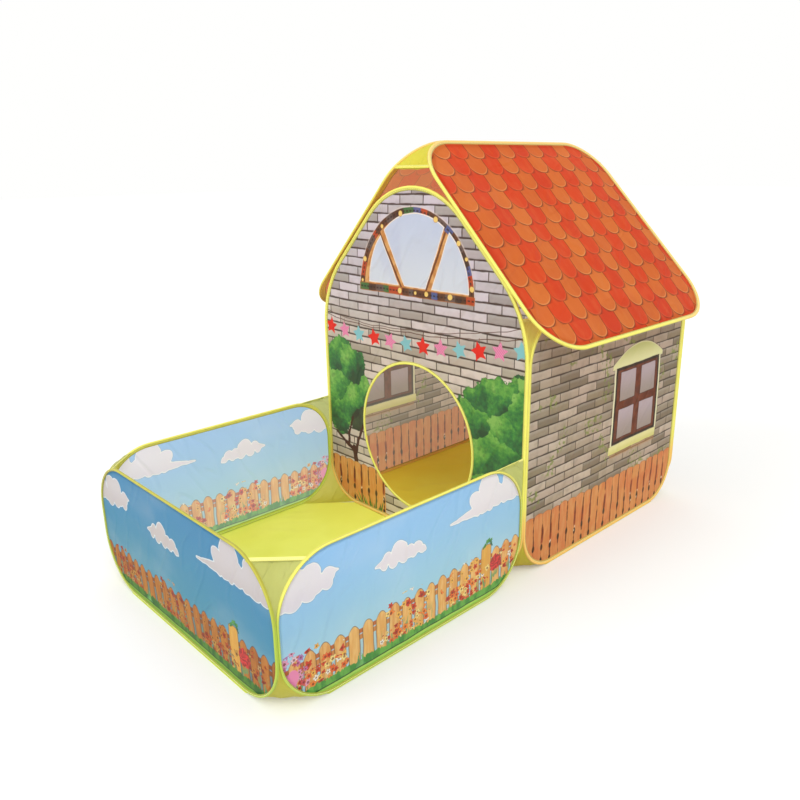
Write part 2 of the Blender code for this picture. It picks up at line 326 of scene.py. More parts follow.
def split(value):
    node = newNode("SeparateXYZ")
    put(node.inputs[0], value)
    return Wire(node.outputs["X"]), Wire(node.outputs["Y"])


def joined(x, y, z=0.0):
    node = newNode("CombineXYZ")
    for socket, value in zip(node.inputs, (x, y, z)):
        put(socket, value)
    return Wire(node.outputs[0])


def fade(value, low, high):
    # 0 at low and beyond, 1 at high and beyond, smooth between
    node = newNode("MapRange")
    node.interpolation_type = "SMOOTHSTEP"
    return Wire(fill(node, {"Value": value, "From Min": low, "From Max": high}).outputs[0])


def mixed(share, first, second, way="MIX"):
    node = newNode("Mix")
    node.data_type = "RGBA"
    node.blend_type = way
    for index, value in ((0, share), (6, first), (7, second)):
        put(node.inputs[index], value)
    return Wire(node.outputs[2])


def ramp(value, stops, steps=False):
    node = newNode("ValToRGB")
    node.color_ramp.interpolation = "CONSTANT" if steps else "LINEAR"
    elements = node.color_ramp.elements
    while len(elements) < len(stops):
        elements.new(0.5)
    for element, (place, colour) in zip(elements, stops):
        element.position = place
        element.color = paint(*colour) if len(colour) == 3 else colour
    put(node.inputs[0], value)
    return Wire(node.outputs[0])


def clouding(spot, scale, detail=2.0, rough=0.5, warp=0.0, colour=False):
    node = newNode("TexNoise")
    node.noise_dimensions = "2D"
    fill(node, {"Vector": spot, "Scale": scale, "Detail": detail, "Roughness": rough, "Distortion": warp})
    return Wire(node.outputs[1 if colour else 0])


def dice(spot):
    # one number from 0 to 1 for each whole-numbered spot
    node = newNode("TexWhiteNoise")
    node.noise_dimensions = "2D"
    put(node.inputs["Vector"], spot)
    return Wire(node.outputs["Value"])


def cellsAt(spot):
    node = newNode("TexVoronoi")
    node.voronoi_dimensions = "2D"
    return fill(node, {"Vector": spot, "Scale": 1.0})


def shaken(spot, scale, reach, detail=2.0):
    # the spot moved about a little, so that lines look drawn by hand
    way = vector("SUBTRACT", clouding(spot, scale, detail, colour=True), (0.5, 0.5, 0.5))
    return vector("ADD", spot, stretch(way, joined(reach, reach)))


def newGroup(name, results, **given):
    # numbers and vectors in, numbers out
    tree = bpy.data.node_groups.new(name, "ShaderNodeTree")
    building["tree"] = tree
    for label, value in given.items():
        kind = "NodeSocketVector" if isinstance(value, tuple) else "NodeSocketFloat"
        tree.interface.new_socket(name=label, in_out="INPUT", socket_type=kind).default_value = value
    for label in results.split():
        tree.interface.new_socket(name=label, in_out="OUTPUT", socket_type="NodeSocketFloat")
    wires = {socket.name: Wire(socket) for socket in tree.nodes.new("NodeGroupInput").outputs}
    return tree, wires, tree.nodes.new("NodeGroupOutput").inputs


def use(group, **values):
    node = newNode("Group")
    node.node_tree = group
    return {socket.name: Wire(socket) for socket in fill(node, values).outputs}


def chosen(share, first, second):
    # from the first number to the second, by share
    node = newNode("Mix")
    for index, value in ((0, share), (2, first), (3, second)):
        put(node.inputs[index], value)
    return Wire(node.outputs[0])


# A filled rectangle with rounded corners
def boxGroup():
    tree, given, out = newGroup(
        "softBox", "Mask Distance", Spot=(0, 0, 0), Middle=(0, 0, 0), Half=(0.1, 0.1, 0), Corner=0.003,
        Edge=0.0007
    )
    away = vector("ABSOLUTE", vector("SUBTRACT", given["Spot"], given["Middle"]))
    corner = joined(given["Corner"], given["Corner"])
    beyond = vector("ADD", vector("SUBTRACT", away, given["Half"]), corner)
    distance = lengthOf(vector("MAXIMUM", beyond, (0, 0, 0)))
    within = least(most(*split(beyond)), 0.0)
    distance = distance + within - given["Corner"]
    put(out["Mask"], fade(distance, given["Edge"], given["Edge"] * -1))
    put(out["Distance"], distance)
    return tree


# A brush stroke between two points
def strokeGroup():
    tree, given, out = newGroup(
        "brushStroke", "Mask Distance Share", Spot=(0, 0, 0), From=(0, 0, 0), To=(0.1, 0, 0), Width=0.004
    )
    line = vector("SUBTRACT", given["To"], given["From"])
    start = vector("SUBTRACT", given["Spot"], given["From"])
    share = vector("DOT_PRODUCT", start, line) / vector("DOT_PRODUCT", line, line)
    share = least(most(share, 0.0), 1.0)
    distance = lengthOf(vector("SUBTRACT", start, vector("SCALE", line, share)))
    distance = distance - given["Width"] * 0.5
    put(out["Mask"], fade(distance, 0.0006, -0.0006))
    put(out["Distance"], distance)
    put(out["Share"], share)
    return tree


# Bricks with lines drawn by hand. Tone is one number for each brick
def brickGroup():
    tree, given, out = newGroup(
        "bricks", "Tone Line Low Across", Spot=(0, 0, 0), Row=0.024, Length=0.075, Line=0.0016, Wobble=0.004
    )
    spot = shaken(given["Spot"], 7.0, given["Wobble"])
    spot = shaken(spot, 60.0, 0.0011)
    u, v = split(spot)
    level = v / given["Row"]
    row = floor(level)
    rise = level - row
    shift = row % 2.0 * 0.5
    shift = timesPlus(dice(joined(row, 3.0)), 0.07, shift)
    place = u / given["Length"] + shift
    column = floor(place)
    across = place - column
    sideways = least(across, 1.0 - across) * given["Length"]
    upward = least(rise, 1.0 - rise) * given["Row"]
    upward = upward * 0.68
    weight = given["Line"] * (clouding(given["Spot"], 26.0, 1.0) + 0.35)
    put(out["Line"], fade(least(sideways, upward), weight * 1.5, weight * 0.45))
    put(out["Tone"], dice(joined(column, row)))
    put(out["Low"], rise)
    put(out["Across"], across)
    return tree


# Rows of round-ended roof tiles, each row lapped over the one below
def tileGroup():
    tree, given, out = newGroup(
        "lappedTiles", "Pale Tone Distance Lap Height", Spot=(0, 0, 0), Row=0.0535, Width=0.06, Round=0.027
    )
    u, v = split(given["Spot"])
    level = v / given["Row"]
    row = floor(level)
    rise = (level - row) * given["Row"]

    def column(rowNumber):
        shift = rowNumber % 2.0 * 0.5
        place = u / given["Width"] + shift
        index = floor(place)
        return index, abs(place - index - 0.5)

    own, off = column(row)
    lowerRow = row - 1.0
    lower, lowerOff = column(lowerRow)
    doubled = off * 2.0
    bend = 1.0 - calc("SQRT", 1.0 - doubled * doubled)
    edge = rise - bend * given["Round"]
    over = calc("GREATER_THAN", edge, 0.0)

    def choose(first, second):
        return chosen(over, second, first)

    index, rowNumber, side = choose(own, lower), choose(row, lowerRow), choose(off, lowerOff)
    sideways = (0.5 - side) * given["Width"]
    put(out["Pale"], 1.0 - index % 2.0)
    put(out["Tone"], dice(joined(index, rowNumber)))
    put(out["Distance"], least(abs(edge) * 0.8, sideways))
    put(out["Lap"], (1.0 - over) * fade(edge, -0.012, 0.0))
    put(out["Height"], choose(rise, rise + given["Row"]))
    return tree


# Upright fence boards with round tops
def picketGroup():
    tree, given, out = newGroup(
        "pickets", "Mask Distance Tone Across", Spot=(0, 0, 0), Pitch=0.034, Width=0.024, Foot=0.03,
        Top=0.118, Round=0.009
    )
    u, v = split(shaken(given["Spot"], 22.0, 0.0045))
    place = u / given["Pitch"]
    index = floor(place)
    across = place - index - 0.5
    half = given["Width"] * 0.5
    away = abs(across * given["Pitch"])
    tone = dice(joined(index, 7.0))
    top = timesPlus(tone - 0.5, 0.004, given["Top"])
    share = away / half
    top = top - given["Round"] * (share * share)
    inside = least(half - away, top - v)
    inside = least(inside, v - given["Foot"])
    put(out["Mask"], fade(inside, -0.0004, 0.0006))
    put(out["Distance"], inside)
    put(out["Tone"], tone)
    put(out["Across"], across)
    return tree


# Scattered flower heads. Cell is the space each has, Size its radius as a share of that
def flowerGroup():
    tree, given, out = newGroup(
        "flowerHeads", "Mask Tone Heart Dice Rim", Spot=(0, 0, 0), Cell=0.014, Size=0.42, Petals=5.0
    )
    spot = vector("DIVIDE", given["Spot"], joined(given["Cell"], given["Cell"], 1.0))
    cells = cellsAt(spot)
    cells.inputs["Randomness"].default_value = 0.8
    x, y = split(vector("SUBTRACT", spot, cells.outputs["Position"]))
    tones = newNode("SeparateColor")
    put(tones.inputs[0], cells.outputs["Color"])
    turn = timesPlus(tones.outputs[1], 6.283, calc("ARCTAN2", y, x) * given["Petals"])
    reach = timesPlus(calc("COSINE", turn), 0.2, 0.8)
    reach = reach * given["Size"] * timesPlus(tones.outputs[2], 0.5, 0.65)
    inside = reach - cells.outputs["Distance"]
    put(out["Mask"], fade(inside, -0.03, 0.03))
    put(out["Rim"], fade(inside, 0.12, 0.02))
    put(out["Heart"], fade(cells.outputs["Distance"] / reach, 0.42, 0.3))
    put(out["Tone"], tones.outputs[0])
    put(out["Dice"], tones.outputs[1])
    return tree


# Foliage seen from a distance: clumps lit from above. Tone runs from deep shade to light leaf
def leafGroup():
    tree, given, out = newGroup("foliage", "Tone Line", Spot=(0, 0, 0), Clump=0.075)
    spot = shaken(given["Spot"], 34.0, 0.034, 3.0)
    own = vector("DIVIDE", spot, joined(given["Clump"], given["Clump"], 1.0))
    cells = cellsAt(own)
    x, y = split(vector("SUBTRACT", own, cells.outputs["Position"]))
    light = timesPlus(y, 0.42, timesPlus(x, -0.2, 0.5))
    wash = clouding(given["Spot"], 17.0, 3.0) - 0.5
    dabs = clouding(given["Spot"], 95.0, 3.0, 0.6) - 0.5
    light = timesPlus(wash, 1.15, light)
    put(out["Tone"], timesPlus(dabs, 0.55, light))
    put(out["Line"], fade(clouding(spot, 60.0, 3.0), 0.6, 0.67))
    return tree


# A five-pointed star
def starGroup():
    tree, given, out = newGroup("star", "Mask Distance", Spot=(0, 0, 0), Size=0.023, Turn=0.0)
    x, y = split(given["Spot"])
    turn = calc("ARCTAN2", x, y) + given["Turn"]
    fifth = 2 * math.pi / 5
    turn = (turn + fifth / 2) % fifth - fifth / 2
    turn = abs(turn)
    away = lengthOf(given["Spot"])
    toward = away * calc("COSINE", turn) - given["Size"]
    aside = away * calc("SINE", turn)
    distance = timesPlus(aside, 0.8967, toward * 0.4426)
    put(out["Mask"], fade(distance, 0.0006, -0.0006))
    put(out["Distance"], distance)
    return tree


# Plain weave: the fine crossing of the threads
def weaveGroup():
    tree, given, out = newGroup("plainWeave", "Height", Spot=(0, 0, 0), Pitch=0.0009)
    u, v = split(vector("DIVIDE", given["Spot"], joined(given["Pitch"], given["Pitch"], 1.0)))
    warp = abs(calc("SINE", u * math.pi))
    weft = abs(calc("SINE", v * math.pi))
    over = (floor(u) + floor(v)) % 2.0
    put(out["Height"], chosen(over, warp, weft))
    return tree


# Soft creases and ripples in stretched cloth
def wrinkleGroup():
    tree, given, out = newGroup(
        "wrinkles", "Height", Spot=(0, 0, 0), Scale=9.0, Stretch=(1, 0.35, 1), Turn=0.5
    )
    turned = newNode("VectorRotate")
    turned.rotation_type = "Z_AXIS"
    fill(turned, {"Vector": given["Spot"], "Angle": given["Turn"]})
    long = stretch(turned.outputs[0], given["Stretch"])
    soft = clouding(long, given["Scale"], 2.0, 0.45, 0.4)
    crease = abs(clouding(long, given["Scale"] * 2.1, 1.0) - 0.5)
    crease = fade(crease, 0.1, 0.0)
    fine = clouding(given["Spot"], 120.0, 2.0)
    height = timesPlus(crease, 0.22, soft)
    put(out["Height"], timesPlus(fine, 0.05, height))
    return tree


# A row of machine stitches at a given distance from the edge, on both faces of a tape
def stitchGroup():
    tree, given, out = newGroup(
        "stitches", "Mask Furrow", Spot=(0, 0, 0), Line=0.0105, Pitch=0.0034, Thread=0.0006
    )
    along, across = split(given["Spot"])
    off = abs(abs(across) - given["Line"])
    share = calc("FRACT", along / given["Pitch"])
    dash = fade(abs(share - 0.5), 0.38, 0.3)
    put(out["Mask"], dash * fade(off, given["Thread"], given["Thread"] * 0.5))
    put(out["Furrow"], fade(off, 0.0022, 0.0))
    return tree


softBox, brushStroke, bricks = boxGroup(), strokeGroup(), brickGroup()
lappedTiles, pickets, flowerHeads, foliage = tileGroup(), picketGroup(), flowerGroup(), leafGroup()
star, plainWeave, wrinkles, stitches = starGroup(), weaveGroup(), wrinkleGroup(), stitchGroup()
print("pattern groups built")
white = (1, 1, 1, 1)


def newMaterial(name, mapName=None):
    # the material, its shader and the spot on its map; what follows is built in its tree
    material = bpy.data.materials.new(name)
    material.use_nodes = True
    building["tree"] = material.node_tree
    shader = material.node_tree.nodes["Principled BSDF"]
    if not mapName:
        return material, shader, None
    reader = newNode("UVMap")
    reader.uv_map = mapName
    return material, shader, Wire(reader.outputs[0])


def surface(material, shader):
    put(material.node_tree.nodes["Material Output"].inputs["Surface"], shader.outputs[0])


# Thin cloth: the print, a weave, creases, and some light let through
def clothFinish(name, printOf, cloth, mapName="clothMap"):
    material, shader, spot = newMaterial(name, mapName)
    colour = printOf(spot)
    wornAndShaded = clouding(spot, 6.0, 3.0)
    behind = newNode("NewGeometry").outputs["Backfacing"]
    inner = mixed(cloth["innerPale"], colour, cloth["innerTint"])
    shown = mixed(behind, colour, inner)
    put(shader.inputs["Base Color"], shown)
    put(shader.inputs["Roughness"], timesPlus(wornAndShaded, 0.16, cloth["roughness"]))
    sheen = {"Sheen Weight": cloth["sheen"], "Sheen Roughness": 0.45}
    fill(shader, {"Specular IOR Level": cloth["shine"], **sheen})
    folds = use(
        wrinkles, Spot=spot, Scale=cloth["foldScale"], Stretch=cloth["foldStretch"], Turn=cloth["foldTurn"]
    )
    fine = fill(newNode("Bump"), {"Strength": 0.35, "Distance": 0.00012})
    put(fine.inputs["Height"], use(plainWeave, Spot=spot, Pitch=cloth["weave"])["Height"])
    coarse = fill(newNode("Bump"), {
        "Strength": 1.0, "Distance": cloth["foldDepth"], "Height": folds["Height"],
        "Normal": fine.outputs[0],
    })
    put(shader.inputs["Normal"], coarse.outputs[0])
    through = newNode("BsdfTranslucent")
    put(through.inputs["Color"], mixed(cloth["throughPale"], shown, white))
    put(through.inputs["Normal"], coarse.outputs[0])
    both = newNode("MixShader")
    both.inputs[0].default_value = cloth["lightThrough"]
    put(both.inputs[1], shader.outputs[0])
    put(both.inputs[2], through.outputs[0])
    surface(material, both)
    return material


panelCloth = {
    "innerPale": 0.07, "innerTint": (250, 244, 232), "roughness": 0.52, "shine": 0.25, "sheen": 0.04,
    "weave": 0.0009, "foldScale": 7.0, "foldStretch": (1.0, 0.38, 1.0), "foldTurn": 0.55,
    "foldDepth": 0.006, "lightThrough": 0.42, "throughPale": 0.22,
}
roofCloth = dict(
    panelCloth, lightThrough=0.4, throughPale=0.12, foldTurn=1.1, innerPale=0.42, innerTint=(246, 166, 90),
    shine=0.15,
)
sideCloth = dict(panelCloth, innerPale=0.12, innerTint=(206, 194, 112))
yardCloth = dict(panelCloth, innerPale=0.14, innerTint=(236, 234, 255))
webCloth = dict(
    panelCloth, foldScale=14.0, foldDepth=0.005, lightThrough=0.42, throughPale=0.25, innerPale=0.0
)
floorCloth = dict(
    panelCloth, foldScale=3.2, foldDepth=0.004, lightThrough=0.0, innerPale=0.0, foldStretch=(1.0, 0.6, 1.0)
)


def box(spot, middle, half, corner, **more):
    return use(softBox, Spot=spot, Middle=(*middle, 0), Half=(*half, 0), Corner=corner, **more)


def brushed(spot, start, end, width):
    return use(brushStroke, Spot=spot, Width=width, From=(*start, 0), To=(*end, 0))


# The side walls' print: grey stone bricks, a window and a close-boarded fence
sideArt = {
    "brickRow": 0.0225, "brickLength": 0.0755, "jointWidth": 0.0014, "washStrength": 0.3,
    "stones": [
        (0.0, (140, 127, 108)), (0.15, (168, 154, 135)), (0.36, (190, 174, 154)), (0.6, (202, 184, 168)),
        (0.82, (212, 196, 178)), (0.93, (158, 144, 119)),
    ],
    "tints": ((255, 255, 255), (222, 238, 244)),
    "joint": (48, 32, 26), "fenceTop": 0.143, "boardPitch": 0.0338, "board": (228, 152, 84),
    "boardDark": (226, 138, 82), "boardLight": (240, 182, 120), "flush": (222, 102, 54),
    "gap": (104, 44, 18), "knot": (34, 14, 10), "windowMiddle": 0.119, "frameBrown": (96, 34, 14),
}


def stoneBricks(spot, art):
    found = use(
        bricks, Spot=spot, Row=art["brickRow"], Length=art["brickLength"], Line=art["jointWidth"],
        Wobble=0.005
    )
    colour = ramp(found["Tone"], art["stones"], steps=True)
    patches = fade(clouding(spot, 30.0, 3.0), 0.42, 0.72)
    colour = mixed(patches * art["washStrength"], colour, art["stones"][0][1])
    light = fade(found["Low"], 0.5, 0.95)
    colour = mixed(light * 0.16, colour, white)
    shade = fade(found["Low"], 0.3, 0.05)
    colour = mixed(shade * 0.14, colour, art["joint"])
    colour = mixed(found["Line"] * 0.95, colour, art["joint"])
    low, high = art["tints"]
    tint = mixed(fade(split(spot)[1], 0.45, 0.7), low, high)
    return mixed(1.0, colour, tint, "MULTIPLY")


def boardFence(spot, colour, art, top, left=None, right=None):
    # close boards: a broken dark joint between each pair, knots low down and a warm flush beside them
    u, v = split(shaken(spot, 18.0, 0.006))
    place = u / art["boardPitch"]
    board = dice(joined(floor(place), 4.0))
    joint = calc("ROUND", place)
    chance = dice(joined(joint, 9.0))
    off = abs(place - joint) * art["boardPitch"]
    grain = clouding(stretch(spot, (1.0, 0.16, 1.0)), 120.0, 2.0)
    wood = mixed(board, art["board"], art["boardDark"])
    wood = mixed(fade(grain, 0.35, 0.7) * 0.45, wood, art["boardLight"])
    wash = fade(clouding(spot, 16.0, 2.0), 0.48, 0.66)
    wood = mixed(wash * 0.3, wood, art["flush"])
    middle = abs(v - 0.083)
    flush = fade(off, 0.006, 0.0026) * fade(middle, 0.026, 0.015)
    flush = flush * calc("GREATER_THAN", chance, 0.38)
    wood = mixed(flush * 0.88, wood, (158, 40, 18))
    broken = clouding(joined(joint * 3.7, v), 34.0, 2.0)
    width = timesPlus(fade(broken, 0.36, 0.6), 0.003, 0.0005)
    stroke = fade(off, width, width * 0.45)
    wood = mixed(stroke * 0.95, wood, art["gap"])
    for level, size, rare in ((0.053, 0.0095, 0.15), (0.0185, 0.0085, 0.3)):
        height = (timesPlus(chance, 0.016, v) - (level + 0.008)) / size
        knot = lengthOf(joined(off / 0.005, height))
        knot = fade(knot, 1.1, 0.75) * calc("GREATER_THAN", chance, rare)
        wood = mixed(knot * 0.95, wood, art["knot"])
    # small pale blossoms in front of some joints
    dab = lengthOf(joined(off, v - timesPlus(board, 0.03, 0.04)))
    dab = fade(dab, 0.0042, 0.0026) * calc("GREATER_THAN", chance, 0.66)
    wood = mixed(dab * 0.9, wood, (240, 226, 206))
    near = 1.0 - off / (art["boardPitch"] / 2)
    crest = timesPlus(near * near, -0.0045, top)
    crest = timesPlus(board, 0.0025, crest)
    over = v - crest
    wood = mixed(fade(over, -0.002, -0.0004) * 0.45, wood, art["gap"])
    mask = fade(over, 0.0005, -0.0005)
    if left is not None:
        mask = mask * fade(u, left, left + 0.001)
    if right is not None:
        mask = mask * fade(u, right + 0.001, right)
    return mixed(mask, colour, wood)


def paneGlass(spot, middle, half, dark, light, colour):
    found = box(spot, middle, half, 0.002)
    glass = mixed(fade(split(spot)[1], middle[1] - half[1], middle[1] + half[1]), dark, light)
    return mixed(found["Mask"], colour, glass)


def sideWindow(spot, colour, art):
    x = art["windowMiddle"]
    spot = shaken(spot, 30.0, 0.0022)
    u, v = split(spot)
    # arched lintel, a little wider than the surround under it
    off = (u - x) / 0.125
    crown = timesPlus(off * off, -0.044, 0.492)
    inside = least(crown - v, v - 0.437)
    inside = least(inside, (1.0 - abs(off)) * 0.125)
    stone = mixed(fade(v, 0.445, 0.49), (246, 250, 188), (212, 222, 140))
    stone = mixed(fade(inside, 0.005, 0.001), stone, (238, 238, 190))
    colour = mixed(fade(inside, -0.003, 0.0) * 0.6, colour, art["joint"])
    sides = box(spot, (x, 0.335), (0.115, 0.118), 0.003)
    colour = mixed(fade(sides["Distance"], 0.0025, 0.0) * 0.6, colour, art["joint"])
    colour = mixed(sides["Mask"], colour, (250, 250, 212))
    colour = mixed(fade(inside, -0.0006, 0.0006), colour, stone)
    under = box(spot, (x + 0.001, 0.205), (0.112, 0.008), 0.003, Edge=0.0018)
    colour = mixed(under["Mask"] * 0.5, colour, (190, 140, 84))
    sill = box(spot, (x - 0.003, 0.221), (0.117, 0.0115), 0.002)
    colour = mixed(fade(sill["Distance"], 0.002, 0.0) * 0.5, colour, art["joint"])
    ledge = mixed(fade(v, 0.212, 0.228), (232, 230, 142), (248, 246, 176))
    colour = mixed(sill["Mask"], colour, ledge)
    frame = box(spot, (x, 0.337), (0.108, 0.103), 0.002)
    wood = mixed(fade(clouding(spot, 40.0, 2.0), 0.35, 0.65), art["frameBrown"], (120, 50, 24))
    wood = mixed(fade(frame["Distance"], -0.0092, -0.0062), wood, (26, 10, 10))
    colour = mixed(frame["Mask"], colour, wood)
    for dx in (-0.049, 0.052):
        for y, h in ((0.388, 0.038), (0.288, 0.039)):
            rim = box(spot, (x + dx - 0.0008, y), (0.0376, h + 0.0016), 0.002)
            colour = mixed(rim["Mask"], colour, (70, 26, 16))
            colour = paneGlass(spot, (x + dx, y), (0.036, h), (172, 160, 154), (198, 184, 194), colour)
    return colour


def sidePrint(spot):
    art = sideArt
    colour = stoneBricks(spot, art)
    # a few sprigs of green between the bricks
    sprig = fade(clouding(spot, 11.0, 1.0), 0.6, 0.68) * fade(clouding(spot, 75.0, 3.0), 0.5, 0.62)
    colour = mixed(sprig * 0.85, colour, (134, 152, 68))
    colour = sideWindow(spot, colour, art)
    return boardFence(spot, colour, art, art["fenceTop"])


# The gables' print: pale bricks, a half-round window, star bunting, a tree, a bush and a fence
gableArt = dict(
    sideArt, brickRow=0.0228, brickLength=0.08, jointWidth=0.0017, joint=(50, 34, 30), washStrength=0.3,
    stones=[
        (0.0, (190, 178, 174)), (0.12, (212, 198, 196)), (0.28, (234, 220, 222)), (0.56, (246, 230, 236)),
        (0.82, (226, 214, 214)), (0.95, (198, 188, 180)),
    ],
    tints=((244, 248, 234), (230, 244, 255)), windowFoot=0.6365,
    starLine=0.504, starPitch=0.0598, starStart=0.034, starSize=0.024,
    board=(242, 176, 94), boardDark=(232, 156, 74), boardLight=(250, 206, 132), boardPitch=0.031,
    flush=(228, 116, 50), gap=(84, 34, 14),
)
halfWindowArt = {
    # the print is a little taller than a half circle
    "arch": (0.003, 0.194), "rise": 0.962, "glass": (0.0115, 0.169, 0.6495), "barHalf": 0.01,
    "lamps": [
        (-0.04, 0.822, 0.0068), (-0.107, 0.789, 0.0052), (-0.174, 0.706, 0.0068), (-0.183, 0.651, 0.0042),
        (0.078, 0.812, 0.0068), (0.148, 0.762, 0.0062), (0.172, 0.729, 0.0046), (0.189, 0.664, 0.0068),
        (-0.044, 0.637, 0.0072), (0.011, 0.637, 0.0044), (0.048, 0.638, 0.0064), (0.124, 0.639, 0.0072),
    ],
    "mullions": [(-0.033, 0.645, -0.112, 0.776), (0.0515, 0.645, 0.113, 0.786)],
    "beadTones": {
        "brown": (92, 60, 40), "grey": (104, 98, 96), "red": (210, 80, 38), "blue": (74, 112, 182),
        "green": (50, 132, 74), "dark": (58, 50, 46),
    },
    "archBeads": [
        (0.0, "brown"), (0.05, "red"), (0.095, "blue"), (0.13, "dark"), (0.19, "grey"), (0.23, "brown"),
        (0.27, "blue"), (0.31, "grey"), (0.36, "brown"), (0.42, "red"), (0.455, "blue"), (0.495, "green"),
        (0.55, "dark"), (0.62, "grey"), (0.66, "brown"), (0.74, "red"), (0.765, "grey"), (0.83, "brown"),
        (0.89, "red"), (0.955, "brown"),
    ],
    "barBeads": [
        (0.0, "green"), (0.08, "dark"), (0.15, "grey"), (0.22, "green"), (0.27, "red"), (0.4, "brown"),
        (0.46, "grey"), (0.5, "brown"), (0.66, "blue"), (0.71, "brown"), (0.77, "grey"), (0.85, "dark"),
        (0.9, "brown"), (0.935, "red"),
    ],
}


def halfWindow(spot, colour, art):
    own = halfWindowArt
    foot, (middle, radius), (glassU, glassR, glassV) = art["windowFoot"], own["arch"], own["glass"]
    spot = shaken(spot, 20.0, 0.003)
    u, v = split(spot)
    flat = joined(u, timesPlus(v, own["rise"], foot * (1 - own["rise"])))
    away = apart(flat, (middle, foot, 0))
    above = v - foot
    brush = clouding(spot, 45.0, 2.0)
    wood = mixed(fade(brush, 0.35, 0.65), (66, 36, 22), (122, 70, 36))
    inner = mixed(fade(brush, 0.35, 0.65), (206, 142, 74), (236, 184, 116))
    # the dark arch and its foot, painted in short blocks with a dashed line
    arch = fade(away, radius + 0.0008, radius - 0.0008) * fade(above, -0.0008, 0.0008)
    bar = box(spot, (middle, foot), (radius + 0.002, own["barHalf"]), 0.002)
    outline = fade(away, radius + 0.005, radius + 0.001) * fade(above, -0.004, 0.0)
    colour = mixed(outline * 0.55, colour, (236, 226, 220))
    turn = calc("ARCTAN2", above, u - middle) / math.pi

    def beads(share, length, off, tones):
        tone = ramp(share, [(stop, own["beadTones"][name]) for stop, name in tones], steps=True)
        painted = mixed(0.22, tone, wood)
        dash = calc("FRACT", share * length / 0.0118)
        dash = fade(abs(dash - 0.5), 0.36, 0.26)
        dash = fade(abs(off), 0.0028, 0.0014) * dash
        return mixed(dash * 0.85, painted, (30, 24, 26))

    colour = mixed(arch, colour, beads(turn, radius * math.pi, away - (radius - 0.008), own["archBeads"]))
    inside = fade(away, radius - 0.0155, radius - 0.0165) * fade(above, 0.0, 0.001)
    colour = mixed(inside, colour, (84, 46, 24))
    thin = fade(away, radius - 0.0168, radius - 0.0178) * fade(above, 0.006, 0.0075)
    colour = mixed(thin, colour, inner)
    # glass with a white edge, and the two bars that split it
    glassAway = apart(flat, (glassU, glassV, 0))
    room = least(glassR - glassAway, v - glassV)
    strokes = []
    for startU, startV, endU, endV in own["mullions"]:
        stroke = brushed(spot, (startU, startV - 0.004), (endU, endV + 0.008), 0.0165)
        strokes.append((stroke, brushed(spot, (startU - 0.0048, startV), (endU - 0.0048, endV), 0.0055)))
        room = least(room, stroke["Distance"])
    glass = mixed(fade(v, foot, foot + radius), (224, 240, 255), (204, 226, 255))
    sheen = fade(clouding(stretch(spot, (1.0, 0.4, 1.0)), 12.0, 2.0), 0.48, 0.75)
    glass = mixed(sheen * 0.3, glass, (190, 206, 244))
    glass = mixed(fade(room, 0.0034, 0.0022), glass, (252, 250, 246))
    for body, shade in strokes:
        colour = mixed(body["Mask"] * inside, colour, inner)
        colour = mixed(shade["Mask"] * inside, colour, (112, 62, 28))
    colour = mixed(fade(room, -0.0005, 0.0006), colour, glass)
    share = (u - (middle - radius)) / (2 * radius)
    colour = mixed(bar["Mask"], colour, beads(share, 2 * radius, above, own["barBeads"]))
    rimLine = fade(bar["Distance"], -0.0026, -0.001) * bar["Mask"]
    colour = mixed(rimLine * 0.8, colour, (188, 118, 58))
    for lampU, lampV, size in own["lamps"]:
        lamp = apart(spot, (lampU, lampV, 0))
        colour = mixed(fade(lamp, size + 0.0014, size) * 0.8, colour, (150, 96, 40))
        colour = mixed(fade(lamp, size + 0.0002, size - 0.0008), colour, (255, 226, 130))
    return colour


def bunting(spot, colour, art):
    u, v = split(spot)

    def sag(place):
        off = place + 0.12
        return timesPlus(off * off, 0.19, art["starLine"])

    # two thin strings
    for lift, bend, weight in ((0.028, 1.0, 0.0016), (0.034, 1.45, 0.0013)):
        line = (sag(u) - art["starLine"]) * bend + (art["starLine"] + lift)
        line = line + (clouding(joined(u, lift), 14.0, 1.0) - 0.5) * 0.012
        off = abs(v - line)
        colour = mixed(fade(off, weight, weight * 0.4) * 0.9, colour, (86, 46, 30))
    place = (u - art["starStart"]) / art["starPitch"] + 0.5
    index = floor(place)
    middle = timesPlus(index, art["starPitch"], art["starStart"])
    # each star hangs by a short thread
    hang = v - sag(middle)
    thread = fade(hang, 0.032, 0.03) * fade(hang, 0.01, 0.012)
    thread = thread * fade(abs(u - middle), 0.0013, 0.0006)
    colour = mixed(thread * 0.8, colour, (116, 66, 40))
    own = joined(u - middle, v - sag(middle))
    turn = (dice(joined(index, 2.0)) - 0.5) * 0.7
    which = index % 3.0 / 3.0
    # the paler ones are a touch larger, with ragged points
    size = timesPlus(calc("LESS_THAN", which, 0.2), 0.0012, art["starSize"])
    shape = use(star, Spot=shaken(own, 90.0, 0.003), Size=size, Turn=turn)
    tints = ramp(which, [(0.0, (248, 30, 22)), (0.3, (244, 124, 184)), (0.6, (138, 214, 226))], steps=True)
    stripe = fade(calc("SINE", (u + v) * 900.0), 0.1, 0.5)
    isPink = calc("GREATER_THAN", which, 0.2) * calc("LESS_THAN", which, 0.5)
    tints = mixed(stripe * isPink * 0.6, tints, (248, 196, 220))
    return mixed(shape["Mask"], colour, tints)


